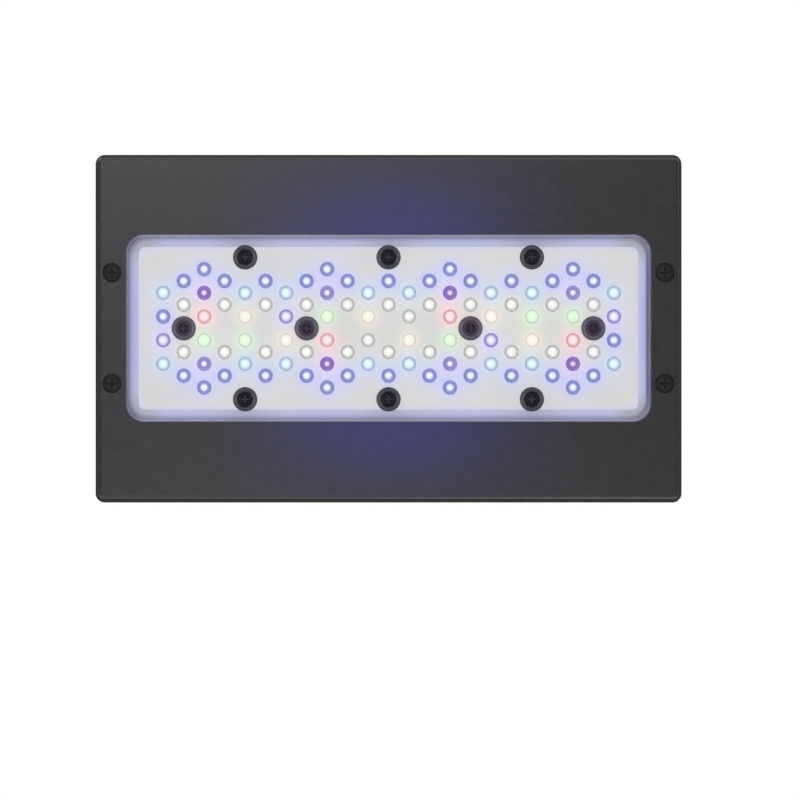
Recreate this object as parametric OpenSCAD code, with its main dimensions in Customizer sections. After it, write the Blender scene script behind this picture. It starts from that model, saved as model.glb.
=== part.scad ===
// LED light for a reef aquarium: a flared tray with a lit window in its underside,
// a finned heat sink, and a top plate whose overhanging edges form slide rails.
// The light stands as it hangs in use, LEDs downwards, with +X along its length.
// The origin is the middle of the flat underside. Sizes are in millimetres.

/* [Housing] */
// Length of the housing at its upper edge
housing_l = 300; // [292:1:320]
// Width of the housing at its upper edge
housing_w = 178; // [174:1:200]
// Height of the housing
housing_h = 26.5; // [25.5:0.5:34]
// How far each side leans out from the lower edge to the upper edge
housing_flare = 2.6; // [1:0.1:3.5]
// Plan radius of the corners at the lower edge
housing_corner_r = 2.1; // [1.8:0.1:6]
// Radius that rounds the lower outside edge
housing_edge_r = 1.5; // [0.5:0.1:1.8]
// Thickness of the leaning side walls
housing_wall = 2; // [1.6:0.1:2.6]
// Inside radius of the corners
housing_inner_r = 1.2; // [0.6:0.1:3]
// Thickness of the face round the window
face_t = 2.5; // [2.2:0.1:3.2]
// Thickness of the thin rim that stands round the deck
rim_wall = 1.1; // [0.8:0.1:1.3]

/* [Window, lens and reflector] */
// Distance from the end of the lower edge to the window
window_end_margin = 13.9; // [13.5:0.1:18]
// Width of the window in the face
window_w = 95.5; // [94:0.5:104]
// Corner radius of the window
window_corner_r = 9.2; // [7:0.1:14]
// Depth of the lens face inside the window
lens_recess = 0.4; // [0.2:0.1:1]
// Thickness of the lens plate
lens_t = 3; // [2.6:0.1:3.4]
// Thickness of the flange that holds the lens behind the face
lens_flange_t = 1.5; // [1.2:0.1:2.5]
// How far the flange reaches past the edge of the window
lens_lip = 2.2; // [1.6:0.1:2.4]
// Gap between the lens and the edge of the window
lens_gap = 0.25; // [0.1:0.05:0.5]
// Size of the bevel on the lens edge
lens_bevel = 0.8; // [0.3:0.1:1.5]
// Thickness of the gasket between the face and the lens flange
gasket_t = 0.6; // [0.4:0.1:1.2]
// How far the gasket stays back from both edges of the flange
gasket_margin = 0.3; // [0.2:0.1:0.5]
// Depth of the sloping white frame between lens and board
reflector_h = 5; // [4.6:0.1:7]
// How far the slope draws in from the window edge to the board
reflector_inset = 6.4; // [4:0.1:7]
// Width of the step where the slope meets the lens
reflector_land = 0.5; // [0.3:0.1:1.5]

/* [LED board] */
// Thickness of the board
board_t = 1.6; // [1.2:0.1:2.4]
// Thickness of the heat-conducting pad behind the board
pad_t = 0.5; // [0.3:0.1:1]
// Distance between neighbouring LEDs, across the light
led_pitch = 12.05; // [11.6:0.05:12.2]
// Distance from the end of the window to the last LEDs
led_end_margin = 18.8; // [14:0.1:24]
// Radius of the round foot of an LED
led_foot_r = 3.7; // [3:0.1:4.4]
// Height of the foot
led_foot_h = 0.9; // [0.8:0.1:1.2]
// Radius of the dome on the foot
led_dome_r = 2.1; // [1.8:0.1:2.6]
// Height of the dome
led_dome_h = 1.7; // [1:0.1:2]
// Width of the square emitter under each dome
emitter_w = 3.2; // [2.4:0.1:3.6]
// Thickness of the emitter
emitter_t = 0.6; // [0.4:0.1:0.7]
// Foot radius of the clamping cones that hold the board
clamp_r = 6.2; // [5.6:0.1:6.4]
// Tip radius of the clamping cones
clamp_tip_r = 3.4; // [3.1:0.1:3.8]
// Gap between the tip of a cone and the lens
clamp_gap = 0.8; // [0.4:0.1:1.4]
// Thread radius of the board screws
board_screw_r = 1.5; // [1.2:0.1:1.5]
// Head radius of the board screws
board_screw_head_r = 2.6; // [2.2:0.1:2.8]
// Head height of the board screws
board_screw_head_h = 1.4; // [1:0.1:1.8]

/* [Housing screws] */
// Distance from the end of the lower edge to a housing screw
case_screw_margin = 7; // [6.4:0.1:7.2]
// Distance of a housing screw from the middle, across the width
case_screw_y = 28.2; // [20:0.2:44]
// Thread radius of the housing screws
case_screw_r = 2; // [1.5:0.1:2.2]
// Head radius of the housing screws
case_head_r = 4.6; // [4:0.1:4.8]
// Head height of the housing screws
case_head_h = 1.5; // [1:0.1:1.7]
// Depth of the screw heads inside the face
case_head_drop = 0.2; // [0.1:0.1:0.4]
// Radius of the posts in the housing that the screws pass through
case_boss_r = 4.2; // [3.4:0.1:4.3]

/* [Heat sink] */
// Thickness of the base
base_t = 4; // [3:0.1:6]
// Gap between the base and the walls of the housing
base_gap = 0.5; // [0.3:0.1:1]
// Thickness of a fin
fin_t = 1.6; // [1:0.1:2.2]
// Distance from one fin to the next
fin_pitch = 4.6; // [3.8:0.1:7]
// Thickness of the long outer walls
sink_side_t = 6; // [5:0.1:8]
// Thickness of the end walls
sink_end_t = 2.5; // [1.6:0.1:4]
// Length of the space for the controls, between the fins and the end of the heat sink
control_bay_l = 42.25; // [38:0.25:46]

/* [Deck and top plate] */
// Thickness of the deck that closes the housing
deck_t = 2; // [1.6:0.1:3]
// How far the deck lies below the upper edge of the housing
deck_drop = 0.5; // [0:0.1:1]
// Side gap round the deck, and between the deck and the heat sink
deck_gap = 0.2; // [0.1:0.05:0.5]
// Height of the slide slots between deck and plate
slot_h = 5.4; // [4.6:0.1:8]
// Depth of the slide slots
slot_depth = 13.3; // [13:0.1:16]
// Thickness of the plate
plate_t = 2.3; // [2:0.1:3]
// How far the plate stays inside the outline of the housing
plate_inset = 4.25; // [3:0.25:6]
// How far the plate passes the heat sink at both ends
plate_end_overhang = 1.5; // [0.5:0.1:3]
// Plan radius of the plate corners
plate_corner_r = 4; // [2.5:0.1:8]
// Size of the bevel under the plate edge
plate_bevel = 1.2; // [0.4:0.1:1.6]
// Distance from the fan to an air opening
vent_fan_gap = 7; // [6:0.5:16]
// How far an air opening stays short of the space for the controls
vent_end_gap = 3; // [3:0.5:20]
// How far an air opening stays inside the walls of the heat sink
vent_side_gap = 6.45; // [5:0.05:16]
// Corner radius of an air opening
vent_corner_r = 6; // [2:0.5:12]
// Distance of a plate screw from the hanging post beside it
plate_screw_step = 14.5; // [12:0.5:18]
// Thread radius of the plate screws
plate_screw_r = 1.5; // [1.2:0.1:1.6]
// Head radius of the plate screws
plate_screw_head_r = 3; // [2.6:0.1:3.2]
// How deep a plate screw goes below the plate
plate_screw_l = 7.2; // [6.8:0.1:7.3]

/* [Hanging posts] */
// Distance from the end of the plate to a post
post_end_margin = 21.25; // [18:0.25:26]
// Radius of a post
post_r = 6.35; // [5.6:0.05:6.5]
// How far a post stays inside the plate edge
post_margin = 0.2; // [0:0.1:0.4]
// Height of the rounded head above the plate
post_head_h = 2.1; // [1.6:0.1:3]
// Radius of the level top round the hole
post_top_r = 3; // [2.6:0.1:3.6]
// Radius of the threaded hole for a hanging wire
post_thread_r = 2; // [1.5:0.1:2.4]
// Depth of the threaded hole
post_thread_h = 7; // [5:0.5:8]
// Radius of the shank below the deck
post_shank_r = 4; // [3.2:0.1:4.6]
// Radius of the stud that enters the heat sink
post_stud_r = 2.5; // [2:0.1:2.9]
// Gap between a post and its notch in the plate
post_gap = 0.3; // [0.2:0.05:0.6]
// Radius of the middle spacers
spacer_r = 5; // [4:0.1:6]

/* [Fan] */
// Width of the square fan frame
fan_w = 80; // [78:0.5:82]
// Height of the fan frame
fan_h = 10; // [9:0.5:11]
// Distance from the side of the frame to the round air passage
fan_bore_margin = 2; // [1.75:0.05:4]
// Wall of the round duct
fan_duct_t = 1.2; // [0.8:0.1:1.6]
// Thickness of the frame flanges
fan_flange_t = 2.5; // [2.2:0.1:3]
// Distance from the side of the frame to its screw holes
fan_hole_margin = 4.25; // [4:0.05:5]
// Thread radius of the fan screws
fan_screw_r = 1.7; // [1.4:0.1:1.9]
// Head radius of the fan screws
fan_head_r = 3.2; // [2.6:0.1:3.4]
// Head height of the fan screws
fan_head_h = 1.5; // [1:0.1:1.8]
// Gap round the frame in the heat sink
fan_pocket_gap = 1; // [0.6:0.1:1.5]
// Thickness of the arms that carry the motor
fan_arm_t = 1.5; // [1.2:0.1:2]
// Width of the arms
fan_arm_w = 4; // [3:0.5:6]
// Number of blades
blade_count = 7; // [5:1:9]
// Thickness of a blade
blade_t = 1.3; // [1:0.1:1.8]
// Radius of the curve of a blade
blade_curve_r = 16; // [14:0.5:24]
// Distance a blade covers round the hub
blade_chord = 17; // [12:0.5:18]
// Gap between the blade tips and the duct
blade_tip_gap = 1; // [0.6:0.1:2]
// Radius of the rotor hub
hub_r = 16.2; // [15.5:0.1:18]
// Wall of the rotor hub
hub_wall = 1.3; // [1:0.1:1.6]
// Thickness of the top of the rotor hub
hub_top_t = 1.4; // [1.2:0.1:1.8]
// Gap between the rotor and what lies above or below it
rotor_gap = 0.7; // [0.5:0.1:1]
// Radius of the fan shaft
fan_shaft_r = 1; // [0.8:0.1:1.4]
// Running gap between the shaft and its bush
shaft_gap = 0.05; // [0.02:0.01:0.08]
// Outer radius of the bush
bush_r = 2.5; // [2.2:0.1:3]
// Wall of the tube that holds the bush
bush_tube_wall = 1.6; // [1:0.1:2]
// Thickness of the magnet ring
magnet_t = 1.4; // [1:0.1:1.8]
// Gap between the magnet ring and the stator
air_gap = 0.6; // [0.4:0.1:1]

/* [Fan guard] */
// Thickness of the rim that lies under the plate
guard_rim_t = 0.8; // [0.6:0.1:1.2]
// How far the rim reaches under the plate
guard_rim_w = 2; // [1.5:0.1:2.4]
// Gap between the guard and the plate
guard_gap = 0.3; // [0.2:0.05:0.5]
// How far the guard lies below the top of the plate
guard_drop = 0.5; // [0.2:0.1:0.8]
// Radius of the middle disc
guard_disc_r = 9.4; // [7:0.1:12]
// Width of the guard rings and spokes
guard_bar_w = 1.6; // [1.2:0.1:2.2]
// Width of the outer ring of the guard
guard_outer_w = 2.6; // [1.8:0.1:4]
// Number of rings between disc and outer ring
guard_ring_count = 4; // [3:1:5]
// Number of spokes
guard_spoke_count = 6; // [3:1:8]

/* [Controls] */
// Distance of the power inlet from the middle, across the width
inlet_y = 36; // [34:1:44]
// Radius of the inlet body
inlet_r = 4.8; // [4.4:0.1:5.4]
// Length of the inlet body below the plate
inlet_l = 12; // [11:0.5:14]
// Radius of the inlet collar on the plate
inlet_collar_r = 6.2; // [6:0.1:7]
// Thickness of the inlet collar
inlet_collar_t = 0.7; // [0.5:0.1:1]
// Radius of the plug hole
inlet_bore_r = 3.2; // [2.8:0.05:3.4]
// Depth of the plug hole
inlet_bore_h = 10; // [9:0.5:10.5]
// Radius of the contact pin
inlet_pin_r = 1; // [0.8:0.05:1.25]
// Radius of the inlet nut across its corners
inlet_nut_r = 7.6; // [7:0.1:8.5]
// Thickness of the inlet nut
inlet_nut_t = 2.4; // [1.8:0.1:3]
// Radius of the push button
button_r = 5; // [4:0.1:5.6]
// Height of the button above the plate
button_rise = 0.9; // [0.9:0.1:1.4]
// Distance that the button travels
button_travel = 0.8; // [0.4:0.1:0.9]
// Width of the flange that keeps the button in
button_flange_w = 1.2; // [0.8:0.1:1.6]
// Thickness of that flange
button_flange_t = 0.5; // [0.4:0.1:0.7]
// Gap between the button and the plate
button_gap = 0.3; // [0.2:0.05:0.5]
// Width of the switch under the button
switch_w = 6.4; // [6:0.1:8]
// Height of the switch
switch_h = 3.4; // [3.2:0.1:3.8]
// Radius of the switch plunger
plunger_r = 1.5; // [1.2:0.1:1.8]
// Distance of the status light from the button
status_y = 14; // [12:0.5:16]
// Radius of the status light
status_r = 1.5; // [1:0.1:2]
// Height of the status light above the plate
status_rise = 0.2; // [0.1:0.1:0.6]
// Length of the switch board, across the light
switch_board_l = 46; // [44:1:50]
// Width of the switch board
switch_board_w = 22; // [20:1:26]

/* [Driver and control boards] */
// Thickness of the circuit boards
circuit_t = 1.6; // [1.2:0.1:2]
// Gap between a circuit board and the walls beside it
circuit_gap = 2; // [1.5:0.1:2.5]
// Height of the pillars under the driver and control boards
pillar_h = 2.2; // [1.8:0.1:2.6]
// Radius of the pillars under the circuit boards
pillar_r = 3; // [2.6:0.1:3.4]
// Distance of the pillars from the board edges
pillar_margin = 4.5; // [4:0.1:5]
// Thread radius of the circuit board screws
circuit_screw_r = 1.2; // [1:0.1:1.4]
// Head radius of the circuit board screws
circuit_head_r = 2.2; // [1.9:0.1:2.5]
// Head height of the circuit board screws
circuit_head_h = 1.2; // [0.9:0.1:1.5]
// Length of the driver board
driver_l = 200; // [190:1:210]
// Length of the control board
control_l = 120; // [110:1:160]
// Number of driver coils, one for each group of LEDs
coil_count = 8; // [6:1:9]
// Radius of a driver coil
coil_r = 5; // [4:0.1:6]
// Height of the coils and capacitors
driver_part_h = 4; // [3.5:0.1:4.2]
// Radius of a driver capacitor
capacitor_r = 4; // [3:0.1:4.6]
// Length of the shielded radio module
radio_l = 24; // [18:0.5:30]
// Width of the shielded radio module
radio_w = 16; // [12:0.5:18]
// Height of the shielded radio module
radio_h = 2.6; // [2:0.1:3.4]
// Width of the controller chip
chip_w = 12; // [8:0.5:14]
// Height of the controller chip
chip_h = 1.4; // [1:0.1:2]
// Gap between a board connector and the screws on both sides of it
connector_gap = 1.8; // [1:0.1:4]
// Size of the board connectors along the board
connector_w = 6; // [5:0.5:7]

/* [Fits] */
// Gap round a screw thread or a pressed-in pin
thread_gap = 0.05; // [0.02:0.01:0.1]
// Gap round a screw head
head_gap = 0.3; // [0.2:0.05:0.4]
// Gap beside a small part that stands next to another
side_gap = 0.3; // [0.2:0.05:0.5]

/* [Hidden] */
$fn = 64;
SIDES = [-1, 1];
EPS = 0.01;
HEX = 6;

// Levels from the face upwards
flange_z0 = face_t + gasket_t;
lens_z1 = flange_z0 + lens_flange_t;
board_z0 = lens_z1 + reflector_h;
pad_z0 = board_z0 + board_t;
base_z0 = pad_z0 + pad_t;
base_z1 = base_z0 + base_t;
deck_z1 = housing_h - deck_drop;
deck_z0 = deck_z1 - deck_t;
plate_z0 = deck_z1 + slot_h;
plate_z1 = plate_z0 + plate_t;
post_z1 = plate_z1 + post_head_h;
fan_z1 = plate_z0 - guard_rim_t;
fan_z0 = fan_z1 - fan_h;

// Plan sizes that follow from the housing
function inside_l(z) = housing_l - 2 * housing_wall - 2 * housing_flare * (1 - z / housing_h);
function inside_w(z) = inside_l(z) - housing_l + housing_w;
recess_l = inside_l(deck_z0) + 2 * (housing_wall - rim_wall);
recess_w = inside_w(deck_z0) + 2 * (housing_wall - rim_wall);
recess_r = housing_corner_r + housing_flare * deck_z0 / housing_h - rim_wall;
base_l = inside_l(base_z0) - 2 * base_gap;
base_w = inside_w(base_z0) - 2 * base_gap;
plate_l = housing_l - 2 * plate_inset;
plate_w = housing_w - 2 * plate_inset;
sink_l = plate_l - 2 * plate_end_overhang;
sink_w = plate_w - 2 * slot_depth;
sink_wall_y = (sink_w - sink_side_t) / 2;
control_bay_x = sink_l / 2 - control_bay_l;
post_x = plate_l / 2 - post_end_margin;
post_y = plate_w / 2 - post_r - post_margin;
plate_screw_x = post_x - plate_screw_step;
vent_x0 = fan_w / 2 + vent_fan_gap;
vent_x1 = control_bay_x - vent_end_gap;
vent_w = sink_w - 2 * sink_side_t - 2 * vent_side_gap;

// The window, lens, gasket and reflector share the middles of their rounded corners
window_l = housing_l - 2 * housing_flare - 2 * window_end_margin;
window_core_l = window_l - 2 * window_corner_r;
window_core_w = window_w - 2 * window_corner_r;
flange_reach = window_corner_r + lens_lip;

// The LEDs lie on a lattice of nearly equal triangles: columns along X, half pitches along Y.
// The columns are counted from the middle of the window to each end.
COLUMN_COUNT = 11;
BLOCK_COLUMN_COUNT = 6;
led_column = (window_l / 2 - led_end_margin) / COLUMN_COUNT;
led_row = led_pitch / 2;
MIDDLE_ROW_1 = ["blue", "red", "warm", "violet", "green", "warm",
    "white", "red", "warm", "green", "green", "violet"];
MIDDLE_ROW_3 = ["cyan", "ultraviolet", "cyan", "cyan", "violet", "cyan",
    "cyan", "ultraviolet", "cyan", "cyan", "violet", "cyan"];
function is_long_column(i) = abs(i) % BLOCK_COLUMN_COUNT == BLOCK_COLUMN_COUNT / 2;
function last_row(i) = is_long_column(i) ? 5 : 4;
function has_led(i, k) = k != 0 && abs(i + k) % 2 == 0 && abs(k) <= last_row(i);
function middle_colour(i, k) =
    let (place = (COLUMN_COUNT + (k < 0 ? i : -i)) / 2)
    abs(k) == 1 ? MIDDLE_ROW_1[place] : MIDDLE_ROW_3[place];
function led_colour(i, k) =
    abs(k) > 3 ? "blue" : abs(k) == 2 ? "white" : middle_colour(i, k);
leds = [
    for (i = [-COLUMN_COUNT:COLUMN_COUNT], k = [-5:5])
    if (has_led(i, k)) [i * led_column, k * led_row, led_colour(i, k)]
];
clamps = [
    for (s = SIDES) each [
        [10 * s * led_column, 0], [4 * s * led_column, 0], [0, 6 * s * led_row],
        [7 * led_column, 6 * s * led_row], [-7 * led_column, 6 * s * led_row]
    ]
];

// Places of the fasteners and controls
case_seat_z = case_head_drop + case_head_h;
case_screw_x = housing_l / 2 - housing_flare - case_screw_margin;
case_screws = [for (x = SIDES, y = SIDES) [x * case_screw_x, y * case_screw_y]];
posts = [for (x = SIDES, y = SIDES) [x * post_x, y * post_y]];
spacers = [for (y = SIDES) [0, y * post_y]];
wall_screws = [for (x = SIDES, y = SIDES) [x * plate_screw_x, y * sink_wall_y]];
all_plate_screws = concat(wall_screws, spacers);
fan_holes = [for (x = SIDES, y = SIDES) [x, y] * (fan_w / 2 - fan_hole_margin)];
control_x = (control_bay_x + sink_l / 2 - sink_end_t) / 2;

// Driver and control boards lie beside the reflector, under the heat sink
circuit_y0 = window_w / 2 + lens_lip + circuit_gap;
circuit_y1 = inside_w(face_t) / 2 - circuit_gap;
circuit_w = circuit_y1 - circuit_y0;
circuit_y = (circuit_y0 + circuit_y1) / 2;
circuit_z0 = face_t + pillar_h;
circuit_z1 = circuit_z0 + circuit_t;
function pillars(l, w, x, y) = [
    for (i = SIDES, j = SIDES)
    [x + i * (l / 2 - pillar_margin), y + j * (w / 2 - pillar_margin)]
];
driver_pillars = pillars(driver_l, circuit_w, 0, -circuit_y);
control_pillars = pillars(control_l, circuit_w, 0, circuit_y);
switch_pillars = pillars(switch_board_w, switch_board_l, control_x, 0);

// The button stands on the plunger of a switch on its own small board
button_z0 = plate_z0 - side_gap - button_flange_t;
switch_z1 = button_z0 - button_travel - side_gap;
switch_z0 = switch_z1 - switch_h;
switch_board_z0 = switch_z0 - circuit_t;
plunger_z0 = switch_z0 + side_gap + button_travel;

// Fan motor and rotor
fan_floor_z = fan_z0 + fan_arm_t;
rotor_z0 = fan_floor_z + rotor_gap;
rotor_z1 = fan_z1 - rotor_gap;
hub_inner_r = hub_r - hub_wall;
bush_tube_r = bush_r + thread_gap + bush_tube_wall;
bush_z0 = fan_z0 + fan_arm_t / 2;
bush_z1 = rotor_z1 - hub_top_t - rotor_gap;
fan_bore_r = fan_w / 2 - fan_bore_margin;
stator_r = hub_inner_r - thread_gap - magnet_t - air_gap;
blade_r = fan_bore_r - blade_tip_gap;
fan_opening_r = fan_bore_r + guard_gap;

// Sweeps a profile round a rectangle with quarter turns at its corners.
// The profile's X is the distance out from the rectangle and its Y is the height.
module rim_sweep(core_l, core_w) {
    for (quarter = [0:3]) {
        run = quarter % 2 == 0 ? core_l : core_w;
        reach = quarter % 2 == 0 ? core_w : core_l;
        rotate([0, 0, 90 * quarter]) translate([run / 2, -reach / 2, 0]) {
            rotate([90, 0, -90]) linear_extrude(run) children();
            rotate([0, 0, -90]) rotate_extrude(angle = 90) children();
        }
    }
}

module centred_box(l, w, z0, z1) {
    translate([-l / 2, -w / 2, z0]) cube([l, w, z1 - z0]);
}

module rounded_slab(l, w, r, z0, z1) {
    centred_box(l - 2 * r, w - 2 * r, z0, z1);
    rim_sweep(l - 2 * r, w - 2 * r) translate([0, z0]) square([r, z1 - z0]);
}

// A block whose sides lean out by the given flare over its height
module leaning_block(l, w, r, z0, z1, flare) {
    centred_box(l - 2 * r, w - 2 * r, z0, z1);
    rim_sweep(l - 2 * r, w - 2 * r) polygon([[0, z0], [r, z0], [r + flare, z1], [0, z1]]);
}

// Part of a slab with the window's corner middles, grown out to the given reach
module window_slab(reach, z0, z1) {
    rounded_slab(window_core_l + 2 * reach, window_core_w + 2 * reach, reach, z0, z1);
}

module drill(places, r, z0, z1) {
    for (p = places) translate([p[0], p[1], z0]) cylinder(r = r, h = z1 - z0);
}

module tube(r_out, r_in, z0, z1) {
    difference() {
        translate([0, 0, z0]) cylinder(r = r_out, h = z1 - z0);
        translate([0, 0, z0 - EPS]) cylinder(r = r_in, h = z1 - z0 + 2 * EPS);
    }
}

// Cylinder-headed screw with a hexagon socket, head seat at Z = 0 and head upwards
module cap_screw(r, l, head_r, head_h) {
    difference() {
        union() {
            translate([0, 0, -l]) cylinder(r = r, h = l);
            cylinder(r = head_r, h = head_h);
        }
        translate([0, 0, head_h / 2]) cylinder(r = head_r / 2, h = head_h, $fn = HEX);
    }
}

// Outline of the outer wall: lower edge rounded, side leaning out to the top
module housing_outline() {
    lean = sqrt(pow(housing_h, 2) + pow(housing_flare, 2));
    round_r = min(housing_edge_r, housing_corner_r);
    round_x = housing_corner_r - round_r * (lean - housing_flare) / housing_h;
    turn = 90 - atan(housing_flare / housing_h);
    steps = 8;
    polygon(concat(
        [[0, housing_h], [0, 0]],
        [for (i = [0:steps]) let (a = -90 + turn * i / steps)
            [round_x + round_r * cos(a), round_r + round_r * sin(a)]],
        [[housing_corner_r + housing_flare, housing_h]]
    ));
}

module housing_shell() {
    low_l = housing_l - 2 * housing_flare;
    low_w = housing_w - 2 * housing_flare;
    core_l = low_l - 2 * housing_corner_r;
    core_w = low_w - 2 * housing_corner_r;
    cavity_flare = housing_flare * (1 - face_t / housing_h);
    difference() {
        union() {
            centred_box(core_l, core_w, 0, housing_h);
            rim_sweep(core_l, core_w) housing_outline();
        }
        leaning_block(inside_l(face_t), inside_w(face_t), housing_inner_r,
            face_t, housing_h + EPS, cavity_flare);
        rounded_slab(recess_l, recess_w, recess_r, deck_z0, housing_h + EPS);
        window_slab(window_corner_r, -EPS, face_t + EPS);
    }
}

// Flared tray with the window, screw posts and pillars for the circuit boards
module lower_housing() {
    color("#3b3c40") difference() {
        union() {
            housing_shell();
            drill(case_screws, case_boss_r, face_t, base_z0);
            drill(concat(driver_pillars, control_pillars), pillar_r, face_t, circuit_z0);
        }
        drill(case_screws, case_screw_r + thread_gap, -EPS, base_z0 + EPS);
        drill(case_screws, case_head_r + head_gap, -EPS, case_seat_z);
        drill(concat(driver_pillars, control_pillars), circuit_screw_r + thread_gap,
            face_t, circuit_z0 + EPS);
    }
}

module housing_screws() {
    color("#141416") for (p = case_screws) translate([p[0], p[1], case_seat_z])
        rotate([180, 0, 0]) cap_screw(case_screw_r, base_z1 - case_seat_z, case_head_r, case_head_h);
}

module lens_gasket() {
    color("#55565c") difference() {
        window_slab(flange_reach - gasket_margin, face_t, flange_z0);
        window_slab(window_corner_r + gasket_margin, face_t - EPS, flange_z0 + EPS);
    }
}

// Clear plate with a bevelled edge that fills the window and a flange behind the face
module lens_cover() {
    edge = window_corner_r - lens_gap;
    plate_top = lens_recess + lens_t;
    inner = window_corner_r - reflector_land;
    color("#dfe3f5", 0.4) {
        centred_box(window_core_l, window_core_w, lens_recess, plate_top);
        rim_sweep(window_core_l, window_core_w) polygon([
            [0, lens_recess], [edge - lens_bevel, lens_recess], [edge, lens_recess + lens_bevel],
            [edge, flange_z0], [flange_reach, flange_z0], [flange_reach, lens_z1],
            [inner, lens_z1], [inner, plate_top], [0, plate_top]
        ]);
    }
}

// White frame whose slopes lead from the window edge in to the board
module reflector_frame() {
    lens_side = window_corner_r - reflector_land;
    board_side = window_corner_r - reflector_inset;
    color("#e4e2f2") difference() {
        rim_sweep(window_core_l, window_core_w) polygon([
            [lens_side, lens_z1], [flange_reach, lens_z1],
            [flange_reach, board_z0], [board_side, board_z0]
        ]);
        drill(clamps, clamp_r + side_gap, lens_z1 - EPS, board_z0 + EPS);
    }
}

module led_board() {
    color("#eef0f4") difference() {
        window_slab(flange_reach, board_z0, pad_z0);
        drill(clamps, board_screw_r + thread_gap, board_z0 - EPS, pad_z0 + EPS);
    }
}

module led_emitters() {
    color("#e9d98a") for (p = leds) translate([p[0], p[1], 0])
        centred_box(emitter_w, emitter_w, board_z0 - emitter_t, board_z0);
}

// Optic over one emitter: a round foot on the board, then a cap cut from a sphere
module led_optic() {
    crown_r = (pow(led_dome_r, 2) + pow(led_dome_h, 2)) / (2 * led_dome_h);
    foot_z = board_z0 - led_foot_h;
    difference() {
        union() {
            translate([0, 0, foot_z]) cylinder(r = led_foot_r, h = led_foot_h);
            intersection() {
                translate([0, 0, foot_z - led_dome_h + crown_r]) sphere(crown_r);
                translate([0, 0, foot_z - led_dome_h - EPS])
                    cylinder(r = led_dome_r, h = led_dome_h + 2 * EPS);
            }
        }
        centred_box(emitter_w + 2 * thread_gap, emitter_w + 2 * thread_gap,
            board_z0 - emitter_t - thread_gap, board_z0 + EPS);
    }
}

module led_group(name) {
    for (p = leds) if (p[2] == name) translate([p[0], p[1], 0]) led_optic();
}

module blue_leds() { color("#5a6cf0") led_group("blue"); }
module white_leds() { color("#f4f4f0") led_group("white"); }
module cyan_leds() { color("#a8def0") led_group("cyan"); }
module violet_leds() { color("#8a6ae0") led_group("violet"); }
module ultraviolet_leds() { color("#6a3ab8") led_group("ultraviolet"); }
module red_leds() { color("#ee5a6a") led_group("red"); }
module green_leds() { color("#86e0a0") led_group("green"); }
module warm_leds() { color("#ffd9b0") led_group("warm"); }

// Black cones that press the board against the heat sink, each under a screw head
module board_clamps() {
    tip_z = lens_z1 + clamp_gap;
    seat_z = tip_z + board_screw_head_h;
    color("#101012") difference() {
        for (p = clamps) translate([p[0], p[1], tip_z])
            cylinder(r1 = clamp_tip_r, r2 = clamp_r, h = board_z0 - tip_z);
        drill(clamps, board_screw_r + thread_gap, tip_z - EPS, board_z0 + EPS);
        drill(clamps, board_screw_head_r + head_gap, tip_z - EPS, seat_z);
    }
}

module board_screws() {
    seat_z = lens_z1 + clamp_gap + board_screw_head_h;
    color("#1c1c20") for (p = clamps) translate([p[0], p[1], seat_z]) rotate([180, 0, 0])
        cap_screw(board_screw_r, base_z1 - seat_z - base_t / 4, board_screw_head_r, board_screw_head_h);
}

module thermal_pad() {
    color("#9aa4b4") difference() {
        window_slab(flange_reach, pad_z0, base_z0);
        drill(clamps, board_screw_r + thread_gap, pad_z0 - EPS, base_z0 + EPS);
    }
}

// Fins run lengthwise between the walls and stop at the space for the controls
module sink_fins() {
    room = sink_w / 2 - sink_side_t - fin_pitch / 2;
    count = floor(room / fin_pitch);
    fin_x0 = -sink_l / 2 + sink_end_t;
    for (i = [-count:count]) translate([fin_x0, i * fin_pitch - fin_t / 2, base_z1])
        cube([control_bay_x - fin_x0, fin_t, plate_z0 - base_z1]);
}

module sink_walls() {
    difference() {
        centred_box(sink_l, sink_w, base_z1, plate_z0);
        centred_box(sink_l - 2 * sink_end_t, sink_w - 2 * sink_side_t, base_z1 - EPS, plate_z0 + EPS);
    }
}

module heat_sink() {
    pocket = fan_w + 2 * fan_pocket_gap;
    boss_r = fan_screw_r + bush_tube_wall;
    color("#23262e") difference() {
        union() {
            rounded_slab(base_l, base_w, housing_inner_r + housing_flare, base_z0, base_z1);
            sink_walls();
            difference() {
                sink_fins();
                centred_box(pocket, pocket, fan_z0, plate_z0 + EPS);
            }
            drill(fan_holes, boss_r, base_z1, fan_z0);
            drill(switch_pillars, pillar_r, base_z1, switch_board_z0);
        }
        drill(case_screws, case_screw_r + thread_gap, base_z0 - EPS, base_z1 + EPS);
        drill(clamps, board_screw_r + thread_gap, base_z0 - EPS, base_z1 - base_t / 4 + thread_gap);
        drill(posts, post_stud_r + thread_gap, base_z0 - EPS, base_z1 + EPS);
        drill(fan_holes, fan_screw_r + thread_gap, base_z1 - base_t / 2, fan_z0 + EPS);
        drill(wall_screws, plate_screw_r + thread_gap, plate_z0 - plate_screw_l - side_gap, plate_z0 + EPS);
        drill(switch_pillars, circuit_screw_r + thread_gap, base_z1, switch_board_z0 + EPS);
    }
}

// Ring that closes the housing round the heat sink
module top_deck() {
    color("#2c2d31") difference() {
        rounded_slab(recess_l - 2 * deck_gap, recess_w - 2 * deck_gap,
            recess_r - deck_gap, deck_z0, deck_z1);
        centred_box(sink_l + 2 * deck_gap, sink_w + 2 * deck_gap, deck_z0 - EPS, deck_z1 + EPS);
        drill(posts, post_shank_r + thread_gap, deck_z0 - EPS, deck_z1 + EPS);
        drill(spacers, plate_screw_r + thread_gap, deck_z0 - EPS, deck_z1 + EPS);
    }
}

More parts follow.
